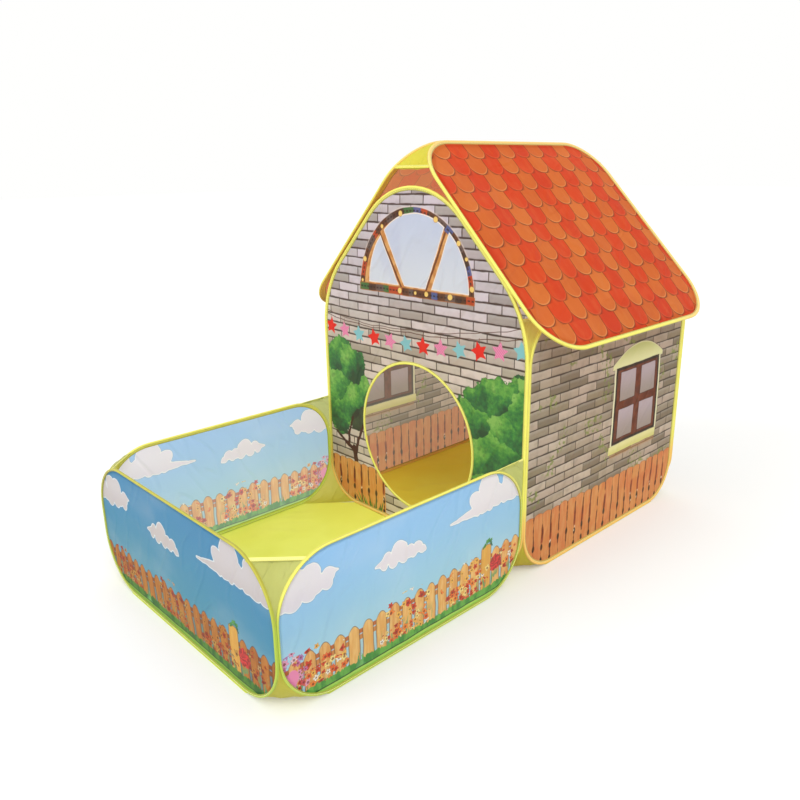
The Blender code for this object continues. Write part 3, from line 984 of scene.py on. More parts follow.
def growth(spot, colour, clumps, tones, clump=0.075):
    # a ragged union of round clumps, filled with leaves
    ragged = shaken(shaken(spot, 24.0, 0.028, 1.0), 95.0, 0.017, 2.0)
    nearest = None
    for x, y, r in clumps:
        one = apart(ragged, (x, y, 0)) - r
        nearest = one if nearest is None else least(nearest, one)
    leaves = use(foliage, Spot=spot, Clump=clump * 1.25)
    green = ramp(leaves["Tone"], tones)
    green = mixed(leaves["Line"] * 0.28, green, tones[0][1])
    green = mixed(fade(nearest, -0.006, 0.0) * 0.35, green, tones[0][1])
    return mixed(fade(nearest, 0.0007, -0.0007), colour, green)


treeTones = [
    (0.12, (20, 78, 52)), (0.34, (34, 116, 66)), (0.52, (62, 150, 68)), (0.7, (104, 182, 78)),
    (0.9, (140, 202, 100))
]
treeClumps = [
    (-0.285, 0.425, 0.062), (-0.235, 0.415, 0.05), (-0.325, 0.375, 0.06), (-0.225, 0.35, 0.06),
    (-0.285, 0.32, 0.062), (-0.335, 0.28, 0.055), (-0.3, 0.245, 0.045),
]
bushClumps = [
    (0.345, 0.44, 0.052), (0.26, 0.425, 0.052), (0.3, 0.38, 0.06), (0.205, 0.395, 0.045),
    (0.16, 0.36, 0.045), (0.24, 0.32, 0.07), (0.33, 0.31, 0.07), (0.2, 0.27, 0.06), (0.29, 0.235, 0.06),
]


def trunk(spot, colour):
    bark = shaken(spot, 60.0, 0.004)
    for start, end, width in (
        ((-0.236, 0.124), (-0.244, 0.172), 0.0168), ((-0.244, 0.164), (-0.28, 0.18), 0.012),
        ((-0.28, 0.18), (-0.318, 0.204), 0.009), ((-0.266, 0.172), (-0.264, 0.214), 0.0092),
        ((-0.264, 0.21), (-0.246, 0.262), 0.0068), ((-0.238, 0.15), (-0.226, 0.2), 0.0104),
        ((-0.226, 0.196), (-0.202, 0.248), 0.0078),
    ):
        branch = brushed(bark, start, end, width)
        colour = mixed(branch["Mask"], colour, (62, 18, 16))
    return colour


def gablePrint(spot):
    art = gableArt
    colour = stoneBricks(spot, art)
    colour = halfWindow(spot, colour, art)
    colour = bunting(spot, colour, art)
    colour = growth(
        spot, colour, [(-0.222, 0.265, 0.04)],
        [(0.2, (34, 52, 42)), (0.6, (52, 76, 56)), (0.9, (66, 92, 66))]
    )
    colour = growth(spot, colour, treeClumps, treeTones)
    colour = growth(spot, colour, bushClumps, treeTones, 0.066)
    colour = trunk(spot, colour)
    colour = boardFence(spot, colour, art, 0.13, right=-0.118)
    colour = boardFence(spot, colour, art, 0.126, left=0.15)
    # long blades by the doorway
    for k in range(13):
        base, tip, height = -0.215 + 0.0062 * k, -0.244 + 0.0098 * k, 0.03 + 0.017 * math.sin(k * 2.3)
        blade = brushed(spot, (base, -0.004), (tip, height), 0.0)
        reach = blade["Distance"] - timesPlus(blade["Share"], -0.005, 0.0054)
        colour = mixed(
            fade(reach, 0.0005, -0.0005), colour, ((60, 132, 50), (132, 176, 60), (34, 100, 48))[k % 3]
        )
    return colour


def grass(spot, colour, height, ragged, deep=(58, 130, 62), bright=(122, 178, 84)):
    u, v = split(spot)
    blades = clouding(stretch(spot, (1.0, 0.22, 1.0)), 230.0, 2.0)
    swell = clouding(joined(u, 0.0), 12.0, 2.0)
    top = timesPlus(blades - 0.45, ragged, height)
    top = timesPlus(swell - 0.5, 0.022, top)
    tone = mixed(fade(clouding(stretch(spot, (1.0, 0.35, 1.0)), 70.0, 3.0), 0.38, 0.62), deep, bright)
    return mixed(fade(v - top, 0.0008, -0.0008), colour, tone)


# The yard's print: sky, three clouds, a picket fence in flower, and grass
yardArt = {
    "skyTop": (146, 200, 252), "skyLow": (164, 214, 240), "cloudTone": (242, 236, 246),
    "cloudShade": (236, 228, 240), "cloudRim": (255, 252, 252),
    # each puff is (across, up, radius); a tail is (across, up, across, up, first radius, last radius)
    "clouds": [
        ([(-0.2453, 0.2563, 0.0221), (-0.2768, 0.2511, 0.0263), (-0.2874, 0.2221, 0.0221),
            (-0.2532, 0.2247, 0.0189), (-0.2084, 0.2416, 0.0158),
          (-0.2111, 0.2258, 0.0126), (-0.3084, 0.2247, 0.0184), (-0.2347, 0.2353, 0.021),
          (-0.335, 0.238, 0.034)],
         (-0.204, 0.247, -0.185, 0.244, 0.0085, 0.002)),
        ([(-0.0358, 0.2221, 0.0221), (-0.0674, 0.2184, 0.0137), (0.0126, 0.2132, 0.0132),
            (0.0258, 0.2037, 0.0095), (-0.0084, 0.2116, 0.0147),
          (-0.0768, 0.2047, 0.0095), (-0.0532, 0.2037, 0.0126), (-0.0242, 0.2047, 0.0126),
          (0.0021, 0.2037, 0.0095), (0.0326, 0.2005, 0.0042)],
         (-0.078, 0.213, -0.098, 0.2105, 0.01, 0.0024)),
        ([(0.1853, 0.2563, 0.0189), (0.2284, 0.2747, 0.0326), (0.21, 0.2405, 0.0237),
            (0.2547, 0.2458, 0.0263), (0.2995, 0.2511, 0.0316),
          (0.3126, 0.2379, 0.0211), (0.3389, 0.2353, 0.0184), (0.2811, 0.2326, 0.0147),
          (0.2311, 0.23, 0.0137), (0.2942, 0.2747, 0.0184),
          (0.1916, 0.2274, 0.0105)],
         (0.185, 0.231, 0.109, 0.225, 0.0125, 0.0024)),
    ],
    "picket": (240, 180, 100), "picketDark": (222, 150, 76), "picketLight": (250, 208, 138),
    "rail": (196, 100, 44), "lowRail": (210, 132, 68), "gapTone": (176, 208, 222), "outline": (104, 62, 26),
    "picketTop": 0.115, "picketPitch": 0.0342, "fenceRise": 0.03,
    # the print sits a little off the middle of its panel
    "shift": 0.0115, "sink": 0.0, "petalTone": (255, 255, 255), "grass": ((54, 142, 58), (102, 178, 74)),
    "margin": (176, 226, 96), "pinkEnd": True,
}
# painted shade: the same yard print for the front panel, darker and deeper throughout because that face is
# in shade
shadedFrontArt = dict(
    yardArt, skyTop=(56, 138, 192), skyLow=(70, 150, 186), cloudTone=(216, 208, 216),
    cloudShade=(208, 198, 204), cloudRim=(232, 240, 250), picket=(192, 114, 38), picketDark=(166, 86, 24),
    picketLight=(206, 134, 52), rail=(140, 58, 22), lowRail=(146, 74, 30), gapTone=(112, 118, 98),
    outline=(76, 38, 12), sink=0.0085, petalTone=(200, 166, 122), grass=((36, 104, 40), (76, 138, 50)),
    margin=(140, 184, 70), pinkEnd=False,
)


def drawCloud(spot, colour, art, puffs, tail):
    ragged = shaken(spot, 46.0, 0.0045, 1.0)
    nearest = None
    for x, y, r in puffs:
        puff = apart(ragged, (x, y, 0)) - r
        nearest = puff if nearest is None else calc("SMOOTH_MIN", nearest, puff, 0.0035)
    stroke = brushed(ragged, (tail[0], tail[1]), (tail[2], tail[3]), 0.0)
    taper = timesPlus(stroke["Share"], tail[5] - tail[4], tail[4])
    nearest = calc("SMOOTH_MIN", nearest, stroke["Distance"] - taper, 0.006)
    v = split(ragged)[1]
    puff = mixed(fade(v, 0.262, 0.212), art["cloudTone"], art["cloudShade"])
    puff = mixed(fade(nearest, -0.0026, -0.0012), puff, art["cloudRim"])
    colour = mixed(fade(nearest, 0.002, 0.0004) * 0.4, colour, (112, 130, 166))
    return mixed(fade(nearest, 0.0006, -0.0006), colour, puff)


def flowerBed(spot, colour, middle, half, cell, stops, tone, density, petals=5.0):
    found = use(flowerHeads, Spot=spot, Cell=cell, Size=0.62, Petals=petals)
    off = vector("DIVIDE", vector("SUBTRACT", spot, (*middle, 0)), (*half, 1.0))
    inside = fade(lengthOf(stretch(off, (1, 1, 0))), 1.1, 0.55)
    kept = calc("GREATER_THAN", inside * density, timesPlus(found["Dice"], 0.88, 0.1))
    petal = ramp(found["Tone"], stops, steps=True)
    petal = mixed(found["Rim"] * 0.46, petal, (130, 38, 16))
    petal = mixed(found["Heart"] * 0.85, petal, (120, 28, 14))
    petal = mixed(1.0, petal, tone, "MULTIPLY")
    return mixed(found["Mask"] * kept, colour, petal)


warmPetals = [
    (0.0, (218, 48, 26)), (0.18, (246, 130, 46)), (0.4, (252, 190, 84)), (0.55, (196, 38, 24)),
    (0.65, (240, 102, 42)), (0.8, (254, 226, 146)), (0.92, (250, 244, 236)),
]
coolPetals = [
    (0.0, (214, 112, 176)), (0.3, (236, 160, 200)), (0.55, (184, 120, 192)), (0.75, (244, 206, 220)),
    (0.9, (214, 70, 90))
]


def yardPrint(art):
    def draw(whole):
        spot = vector("ADD", whole, (art["shift"], 0.0, 0.0))
        u, v = split(spot)
        colour = mixed(fade(v, 0.06, 0.3), art["skyLow"], art["skyTop"])
        haze = clouding(stretch(spot, (0.5, 1.0, 1.0)), 7.0, 3.0)
        colour = mixed(fade(haze, 0.4, 0.75) * 0.1, colour, white)
        for puffs, tail in art["clouds"]:
            colour = drawCloud(spot, colour, art, puffs, tail)
        # fence: pale gaps, rails, then the pickets
        whole, spot = spot, vector("ADD", spot, (0.0, art["sink"], 0.0))
        u, v = split(spot)
        level = timesPlus(u, -art["fenceRise"], v)
        fence = joined(u + 0.001, level)
        boards = use(
            pickets, Spot=fence, Pitch=art["picketPitch"], Width=0.0258, Foot=0.012, Top=art["picketTop"],
            Round=0.0125
        )
        behind = fade(level, 0.1, 0.078)
        colour = mixed(behind * 0.6, colour, art["gapTone"])
        for low, high, tone in ((0.0925, 0.103, "rail"), (0.079, 0.091, "lowRail")):
            rail = fade(level, low, low + 0.001) * fade(level, high, high - 0.001)
            colour = mixed(rail, colour, art[tone])
        edge = fade(boards["Distance"], -0.002, -0.0008)
        colour = mixed(edge * 0.75, colour, art["outline"])
        grain = clouding(stretch(spot, (1.0, 0.14, 1.0)), 150.0, 2.0)
        wood = mixed(boards["Tone"], art["picket"], art["picketDark"])
        wood = mixed(fade(grain, 0.35, 0.7) * 0.6, wood, art["picketLight"])
        side = fade(boards["Across"], 0.12, 0.32)
        wood = mixed(side * 0.5, wood, art["picketDark"])
        rimmed = fade(boards["Distance"], 0.0016, 0.0)
        wood = mixed(rimmed * 0.55, wood, art["outline"])
        colour = mixed(boards["Mask"], colour, wood)
        # a taller post with a leafy head
        post = box(spot, (0.2225, 0.08), (0.0155, 0.056), 0.009)
        colour = mixed(fade(post["Distance"], 0.0018, 0.0004), colour, art["outline"])
        colour = mixed(post["Mask"], colour, mixed(grain, (238, 186, 84), (222, 150, 66)))
        colour = growth(
            spot, colour, [(0.213, 0.137, 0.0055), (0.223, 0.143, 0.007), (0.233, 0.138, 0.006),
                (0.239, 0.129, 0.005)], treeTones, 0.03
        )
        # greenery and flowers against the fence
        stems = fade(clouding(stretch(spot, (1.0, 0.3, 1.0)), 80.0, 2.0), 0.56, 0.62)
        stems = stems * fade(v, 0.08, 0.045)
        stems = stems * fade(clouding(joined(u, 0.5), 9.0, 1.0), 0.4, 0.52)
        colour = mixed(stems, colour, (104, 156, 104))
        for middle, half, cell, density in (
            ((-0.233, 0.084), (0.078, 0.044), 0.0155, 0.46), ((-0.02, 0.088), (0.084, 0.05), 0.016, 0.52),
            ((0.16, 0.086), (0.09, 0.044), 0.0155, 0.46), ((-0.232, 0.047), (0.076, 0.028), 0.0135, 0.96),
            ((-0.018, 0.046), (0.078, 0.034), 0.0138, 0.92), ((0.162, 0.047), (0.082, 0.03), 0.0135, 0.96),
        ):
            colour = flowerBed(spot, colour, middle, half, cell, warmPetals, art["petalTone"], density)
        if art["pinkEnd"]:
            colour = flowerBed(
                spot, colour, (-0.304, 0.066), (0.05, 0.066), 0.015, coolPetals, art["petalTone"], 0.8, 6.0
            )
            bloom = vector("SUBTRACT", shaken(spot, 30.0, 0.006), (-0.296, 0.071, 0))
            bloom = lengthOf(stretch(bloom, (1.0, 0.72, 0)))
            colour = mixed(fade(bloom, 0.013, 0.0115), colour, (244, 140, 190))
        rose = shaken(spot, 70.0, 0.012)
        petals = clouding(rose, 150.0, 1.0)
        tone = mixed(fade(petals, 0.42, 0.58), (166, 14, 36), (226, 40, 56))
        colour = mixed(fade(apart(rose, (0.256, 0.082, 0)), 0.0205, 0.019), colour, tone)
        colour = flowerBed(
            spot, colour, (0.298, 0.082), (0.044, 0.036), 0.014, warmPetals, art["petalTone"], 0.7
        )
        colour = grass(whole, colour, 0.031, 0.012, *art["grass"])
        tuft = fade(abs(u + 0.142), 0.024, 0.004)
        colour = grass(whole, colour, timesPlus(tuft, 0.05, -0.016), 0.06, (70, 150, 92), (116, 188, 106))
        # the print's green margin, under a dark line
        foot = timesPlus(clouding(joined(u, 0.3), 16.0, 1.0), 0.005, v - (art["sink"] + 0.0025))
        colour = mixed(fade(foot, 0.018, 0.0165), colour, (30, 76, 34))
        return mixed(fade(foot, 0.015, 0.014), colour, art["margin"])

    return draw


# The roof's print: lapped tiles in red and tan
roofArt = {
    "red": (230, 72, 18), "redDark": (224, 62, 18), "tan": (230, 124, 50), "tanDark": (222, 108, 40),
    "line": (104, 26, 10), "round": 0.031, "shift": (-0.052, -0.0165, 0.0),
}


def roofPrint(spot):
    art = roofArt
    spot = shaken(spot, 11.0, 0.009)
    spot = vector("ADD", spot, art["shift"])
    found = use(lappedTiles, Spot=spot, Round=art["round"])
    red = mixed(found["Tone"], art["red"], art["redDark"])
    tan = mixed(found["Tone"], art["tan"], art["tanDark"])
    colour = mixed(found["Pale"], red, tan)
    wash = fade(clouding(spot, 9.0, 3.0), 0.4, 0.7)
    colour = mixed(wash * 0.16, colour, (204, 56, 22))
    streaks = clouding(stretch(spot, (1.0, 0.35, 1.0)), 55.0, 3.0)
    colour = mixed(fade(streaks, 0.45, 0.75) * 0.1, colour, (244, 156, 84))
    top = fade(found["Height"], 0.035, 0.085)
    colour = mixed(top * 0.22, colour, (196, 58, 26))
    colour = mixed(found["Lap"] * 0.34, colour, art["line"])
    gleam = fade(found["Distance"], 0.005, 0.0026) * fade(found["Height"], 0.034, 0.014)
    gleam = gleam * timesPlus(found["Pale"], 0.26, 0.1)
    colour = mixed(gleam, colour, (255, 190, 124))
    strength = timesPlus(found["Pale"], 0.44, 0.34)
    line = fade(found["Distance"], 0.002, 0.0006)
    return mixed(line * strength, colour, art["line"])


def plainPrint(tone, second):
    def draw(spot):
        return mixed(fade(clouding(spot, 5.0, 3.0), 0.3, 0.7), tone, second)

    return draw


# Binding tape: lemon cloth, folded over the hoop and stitched near its inner edge
tapeFinish = {
    "tone": (242, 237, 116), "second": (234, 226, 94), "thread": (250, 246, 170), "shade": (120, 108, 22),
    "shadeStrength": 0.5, "weave": 0.0008, "roughness": 0.55, "lime": (176, 206, 70),
    "golden": (244, 192, 96), "innerGolden": (226, 172, 62), "amber": (244, 202, 122),
}


def objectPlace():
    node = newNode("SeparateXYZ")
    put(node.inputs[0], newNode("TexCoord").outputs["Object"])
    return node.outputs


def paintedFootLight(key, high, low, strength):
    # painted light: toward the ground the tapes are tinted with the colour of light thrown on them by the
    # print around, lime by the yard and golden by the house
    def draw(colour, art, *_):
        return mixed(fade(objectPlace()["Z"], high, low) * strength, colour, art[key])

    return draw


def amberBacklight(colour, art, across):
    # painted backlight: the roof's tapes are thin, and amber is painted where light through the red shows
    # along the ridge, the far edge and inside; the inner lip is painted golden for the same light
    place = objectPlace()
    share = most(fade(place["Y"], 0.42, 0.62), fade(place["Z"], 0.9, 0.97))
    colour = mixed(share * 0.85, colour, art["amber"])
    return mixed(calc("LESS_THAN", across, -0.002) * 0.9, colour, art["innerGolden"])


limeFootLight, goldenFootLight = paintedFootLight("lime", 0.27, 0.16, 0.8), paintedFootLight("golden", 0.19, 0.12, 0.9)


def bindingMaterial(name, art, stitchLine, lips, tint=None):
    # lips are how far each side of the tape reaches, measured from the fold
    material, shader, spot = newMaterial(name, "tapeMap")
    across = split(spot)[1]
    colour = mixed(clouding(spot, 22.0, 2.0), art["tone"], art["second"])
    if tint:
        colour = tint(colour, art, across)
    sewn = use(stitches, Spot=spot, Line=stitchLine)
    off = abs(across)
    reach = timesPlus(calc("GREATER_THAN", across, 0.0), lips[0] - lips[1], lips[1])
    # painted shade: the tape is darkened at each lip's free edge and along the fold, and more lightly in the
    # stitch furrow
    edge = fade(reach - off, 0.0016, 0.0004)
    fold = fade(off, 0.0017, 0.0003) * 0.45
    wornAndShaded = most(edge, fold)
    colour = mixed(wornAndShaded * art["shadeStrength"], colour, art["shade"])
    colour = mixed(sewn["Furrow"] * 0.22, colour, art["shade"])
    colour = mixed(sewn["Mask"], colour, art["thread"])
    put(shader.inputs["Base Color"], colour)
    fill(shader, {"Roughness": art["roughness"], "Specular IOR Level": 0.35, "Sheen Weight": 0.08})
    pucker = clouding(stretch(spot, (1.0, 0.25, 1.0)), 120.0, 2.0)
    threads = use(plainWeave, Spot=spot, Pitch=art["weave"])["Height"]
    height = timesPlus(threads, 0.1, pucker)
    height = height - sewn["Furrow"] * 0.9
    height = timesPlus(sewn["Mask"], 0.6, height)
    bump = fill(newNode("Bump"), {"Strength": 0.8, "Distance": 0.0009, "Height": height})
    put(shader.inputs["Normal"], bump.outputs[0])
    return material


# Sprung steel strip and ferrule: brushed along their length
def steelMaterial():
    material, shader, _ = newMaterial("springSteel")
    place = newNode("TexCoord").outputs["Object"]
    node = newNode("TexNoise")
    put(node.inputs["Vector"], stretch(place, (1.0, 1.0, 0.2)))
    node.inputs["Scale"].default_value = 900.0
    put(
        shader.inputs["Base Color"], ramp(node.outputs[0], [(0.3, (150, 150, 154)), (0.7, (196, 197, 200))])
    )
    put(shader.inputs["Roughness"], timesPlus(node.outputs[0], 0.25, 0.22))
    shader.inputs["Metallic"].default_value = 1.0
    return material


materials = {
    "gable": clothFinish("brickGableCloth", gablePrint, panelCloth),
    "side": clothFinish("brickSideCloth", sidePrint, sideCloth),
    "roof": clothFinish("tileCloth", roofPrint, roofCloth),
    "yardFront": clothFinish("shadedSkyFrontCloth", yardPrint(shadedFrontArt), yardCloth),
    "yardSide": clothFinish("skySideCloth", yardPrint(yardArt), yardCloth),
    "web": clothFinish("lemonWebCloth", plainPrint((238, 235, 80), (230, 227, 68)), webCloth, "webMap"),
    # painted light: a brighter copy of the lemon web cloth for the webs under the eaves, which sit in the
    # roof's shade
    "brightenedEaveWeb": clothFinish(
        "brightenedEaveWebCloth", plainPrint((255, 255, 116), (252, 248, 104)),
        dict(webCloth, lightThrough=0.6, throughPale=0.35), "webMap"
    ),
    # painted shade: a greyer, darker copy of the web cloth for the yard's top webs, which are in shade
    "shadedYardWeb": clothFinish(
        "shadedWebCloth", plainPrint((209, 211, 126), (199, 201, 110)), webCloth, "webMap"
    ),
    # painted shade: a darker olive copy of the web cloth for the webs at the feet, which are in shade
    "shadedFootWeb": clothFinish("shadedLimeWebCloth", plainPrint((214, 208, 68), (206, 200, 60)), webCloth, "webMap"),
    "floor": clothFinish("limeFloorCloth", plainPrint((240, 244, 108), (234, 238, 94)), floorCloth),
    "houseFloor": clothFinish("mustardFloorCloth", plainPrint((255, 254, 92), (252, 246, 78)), floorCloth),
    "houseTape": bindingMaterial("lemonBinding", tapeFinish, 0.0098, (0.0118, 0.0118), goldenFootLight),
    "yardTape": bindingMaterial("limeFootBinding", tapeFinish, 0.0064, (0.008, 0.0118), limeFootLight),
    # painted shade: a darker olive copy of the lemon tape for the yard's front panel, which is in shade
    "shadedFrontTape": bindingMaterial(
        "shadedOliveBinding", dict(tapeFinish, tone=(196, 190, 74), second=(180, 174, 58)), 0.0064,
        (0.008, 0.0118), limeFootLight
    ),
    "roofTape": bindingMaterial("amberBacklitBinding", tapeFinish, 0.0098, (0.0118, 0.0226), amberBacklight),
    "doorTape": bindingMaterial("doorBinding", tapeFinish, 0.0066, (0.0086, 0.0086)),
    "hem": bindingMaterial(
        "lemonHem", dict(tapeFinish, tone=(248, 246, 150), second=(244, 238, 124), shadeStrength=0.2),
        0.0054, (0.0078, 0.0078)
    ),
    "ridgeHem": bindingMaterial(
        "ridgeHem", dict(tapeFinish, tone=(228, 222, 92), second=(222, 214, 84), shadeStrength=0.12),
        0.0054, (0.0078, 0.0078)
    ),
    "steel": steelMaterial(),
}
print("materials built:", len(materials))


# Printed cloth of one panel: a grid cut to the outline, then bowed a little
clothCut = {
    "cell": 0.0135, "gableRoom": 0.3, "peak": 0.888, "flatRim": 0.11, "crease": 0.0011, "doorRim": 0.003
}


def clothShape(name, spec):
    bm = bmesh.new()
    w, h = spec["width"], spec["height"] + (clothCut["gableRoom"] if spec["gabled"] else 0)
    across, upward = round(w / clothCut["cell"]), round(h / clothCut["cell"])
    upright = Matrix.Rotation(math.pi / 2, 4, "X")
    bmesh.ops.create_grid(bm, x_segments=across, y_segments=upward, size=0.5, matrix=upright)
    bmesh.ops.scale(bm, verts=bm.verts, vec=(w, 1, h))
    bmesh.ops.translate(bm, verts=bm.verts, vec=(0, 0, h / 2))
    edgePoints = outlinePoints(spec, tent["clothInset"])
    for start, end in zip(edgePoints, edgePoints[1:] + edgePoints[:1]):
        way = end - start
        bmesh.ops.bisect_plane(
            bm, geom=bm.verts[:] + bm.edges[:] + bm.faces[:], plane_co=start, plane_no=(way.z, 0, -way.x),
            clear_outer=True, dist=1e-6,
        )
    if name == "front_wall":
        cutDoorway(bm)
    mapLoops(bm, "clothMap", lambda vert: (-spec["outside"] * vert.co.x, vert.co.z))
    area = sum(face.calc_area() for face in bm.faces)
    bowCloth(bm, name, spec, edgePoints)
    place = panelMatrix(spec)
    bmesh.ops.transform(bm, matrix=place, verts=bm.verts)
    bm.normal_update()
    if bm.faces[:][0].normal.dot(spec["through"] * spec["outside"]) < 0:
        bmesh.ops.reverse_faces(bm, faces=bm.faces)
    return bm, area


def cutDoorway(bm):
    middle = Vector((0, 0, tent["doorHeight"] - tent["wallFoot"]))
    radius = tent["doorRadius"] + clothCut["doorRim"]
    inner = [v for v in bm.verts if (v.co - middle).length < radius + 0.004]
    bmesh.ops.delete(bm, geom=inner, context="VERTS")

    def off(edge):
        return ((edge.verts[0].co + edge.verts[1].co) / 2 - middle).length

    rim = [e for e in bm.edges if e.is_boundary and off(e) < radius + 0.04]
    for v in grow(bm, rim)[0]:
        v.co = middle + (v.co - middle).normalized() * radius


def bowCloth(bm, name, spec, edgePoints):
    # the cloth stands a few millimetres off its flat plane, least near the hoop
    seed = sum(map(ord, name)) * 0.37
    door = Vector((0, 0, tent["doorHeight"] - tent["wallFoot"]))
    lines = [(a, (b - a).normalized()) for a, b in zip(edgePoints, edgePoints[1:] + edgePoints[:1])]
    for v in bm.verts:
        inside = min((v.co.x - a.x) * -d.z + (v.co.z - a.z) * d.x for a, d in lines)
        if name == "front_wall":
            inside = min(inside, (v.co - door).length - tent["doorRadius"])
        share = clamp(inside / clothCut["flatRim"])
        share = share * share * (3 - 2 * share)
        ripple = noise.noise(Vector((v.co.x * 5.2 + seed, 0.3, v.co.z * 4.1)))
        crease = noise.noise(
            Vector(((v.co.x + v.co.z * 0.8) * 15 + seed, 5.3, (v.co.z - v.co.x * 0.8) * 4))
        )
        v.co.y = share * (
            spec["outside"] * spec["bow"] * 0.7 + spec["bow"] * ripple + clothCut["crease"] * crease
        )


clothOf = {
    "front_wall": ("gable", "brick_cloth"), "back_wall": ("gable", "brick_cloth"),
    "right_wall": ("side", "brick_cloth"), "left_wall": ("side", "brick_cloth"),
    "roof_right": ("roof", "tile_cloth"), "roof_left": ("roof", "tile_cloth"),
    "yard_front": ("yardFront", "sky_cloth"), "yard_right": ("yardSide", "sky_cloth"),
    "yard_left": ("yardSide", "sky_cloth"),
}
for name, spec in panels.items():
    kind, slot = clothOf[name]
    bm, area = clothShape(name, spec)
    cloth = makeObject(name + "_print", bm, [materials[kind]])
    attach(cloth, spec["body"])
    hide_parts(name + "_cloth")
    inset = 2 * tent["clothInset"]
    flatHeight = (clothCut["peak"] - tent["wallFoot"] if spec["gabled"] else spec["height"]) - inset
    spec["width"] - inset
    name + "_hoop"
print("cloth panels made")

# Cross-sections of the edge tapes, one side: distance in from the edge, height off the middle
tapeBulge = [(-0.0003, 0.0), (0.0002, 0.0023), (0.0014, 0.0034), (0.0028, 0.0036)]
plainLip = tapeBulge + [
    (0.0046, 0.0031), (0.0064, 0.0021), (0.0082, 0.0014), (0.0098, 0.0012), (0.0102, 0.0006)
]
shortLip = tapeBulge[:3] + [
    (0.0024, 0.0035), (0.0034, 0.003), (0.0044, 0.002), (0.0053, 0.0013), (0.0057, 0.0006)
]
deepLip = plainLip[:-1] + [(0.015, 0.0013), (0.0204, 0.0012), (0.0208, 0.0006)]
doorLip = [
    (-0.0001, 0.0), (0.0003, 0.0011), (0.0014, 0.0017), (0.0032, 0.0017), (0.0052, 0.0014),
    (0.0072, 0.0012), (0.0078, 0.0006)
]


def tapeRing(bm, outer, inner, facing, outward=False):
    # a closed section at the bottom middle, with its place across the tape on each vertex
    across = bm.verts.layers.float.new("across")
    bm.verts.layers.float.new("along")
    bm.loops.layers.uv.new("tapeMap")
    if inner[-1][0] > outer[-1][0]:
        inner = inner + [(outer[-1][0] + 0.0003, 0.0005)]
    ring = []
    for half, sign in ((outer, 1), (inner, -1)):
        travelled, side = 0.0, []
        for k, (inset, height) in enumerate(half):
            travelled += math.dist(half[k], half[k - 1]) if k else 0.0
            side.append((inset, height * sign * facing, travelled * sign))
        ring += side if sign > 0 else side[:0:-1]
    verts = []
    for inset, height, place in ring:
        vert = bm.verts.new((0, height, -inset if outward else inset))
        vert[across] = place
        verts.append(vert)
    return [bm.edges.new((verts[k - 1], verts[k])) for k in range(len(verts))]


def sweepTape(bm, edges, moves, radius=None):
    across, along = bm.verts.layers.float["across"], bm.verts.layers.float["along"]
    uvMap = bm.loops.layers.uv["tapeMap"]
    travelled = 0.0
    for move in moves:
        verts, edges, faces = grow(bm, edges)
        step = moveVerts(bm, verts, move)
        travelled += step if step is not None else move[3] * (radius or 0.11)
        for vert in verts:
            vert[along] = travelled
        for face in faces:
            places = [loop.vert[across] for loop in face.loops]
            wide = max(map(abs, places))
            crossing = min(places) < -0.006 < 0.006 < max(places)
            for loop in face.loops:
                loop[uvMap].uv = (loop.vert[along], wide if crossing else loop.vert[across])


def finishTape(bm, spec, name, look):
    bmesh.ops.remove_doubles(bm, verts=bm.verts, dist=1e-5)
    bmesh.ops.recalc_face_normals(bm, faces=bm.faces)
    bmesh.ops.transform(bm, matrix=panelMatrix(spec), verts=bm.verts)
    tape = makeObject(name + "_tape", bm, [materials[look]])
    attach(tape, spec["body"])
    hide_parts(name + "_binding")


tapeOf = {
    "roof": ("roofTape", plainLip, deepLip), "yard": ("yardTape", shortLip, plainLip),
    "yard_front": ("shadedFrontTape", shortLip, plainLip),
}
for name, spec in panels.items():
    bm = bmesh.new()
    look, outer, inner = tapeOf.get(name, tapeOf.get(name[:4], ("houseTape", plainLip, plainLip)))
    sweepTape(bm, tapeRing(bm, outer, inner, spec["outside"]), smallMoves(spec, bendStep=math.radians(6)))
    finishTape(bm, spec, name, look)

bm = bmesh.new()
edges = tapeRing(bm, doorLip, doorLip, -1, outward=True)
doorV = tent["doorHeight"] - tent["wallFoot"]
bmesh.ops.translate(bm, verts=bm.verts, vec=(0, 0, doorV - tent["doorRadius"]))
sweepTape(bm, edges, [("bend", 0, doorV, math.radians(5))] * 72, tent["doorRadius"])
finishTape(bm, panels["front_wall"], "door", "doorTape")
print("bindings made")


# Corner webs: two edges, each spun round its panel's corner, joined by cloth
def cornerStart(name, side, level, share, lift=0.0):
    spec = panels[name]
    r = spec["radius"]
    turn = share * math.pi / 2
    centreU = side * (spec["width"] / 2 - r)
    centreV = spec["height"] - r if level > 0 else r
    reach = r + lift
    u, v = centreU + side * reach * math.cos(turn), centreV + level * reach * math.sin(turn)
    place = panelMatrix(spec)
    return (
        place @ Vector((u, 0, v)), place @ Vector((centreU, 0, centreV)), spec["through"] * -(side * level)
    )


def gableStart(name, side, first, last, lift=0.0):
    # a stretch of the gable's eave bend, between two heights above its foot
    spec = panels[name]
    eaveR = tent["gableEave"]
    eaveU, eaveV = eaveCentre(spec["width"] / 2)
    angles = [math.asin(max(-1.0, min(1.0, (height - eaveV) / eaveR))) for height in (first, last)]
    reach = eaveR + lift
    place = panelMatrix(spec)
    start = place @ Vector(
        (side * (eaveU + reach * math.cos(angles[0])), 0, eaveV + reach * math.sin(angles[0]))
    )
    return start, place @ Vector((side * eaveU, 0, eaveV)), spec["through"] * -side, angles[1] - angles[0]


web = {"steps": 14, "rungs": 7, "seamIn": 0.0022, "hemWidth": 0.0075, "hemThick": 0.002}


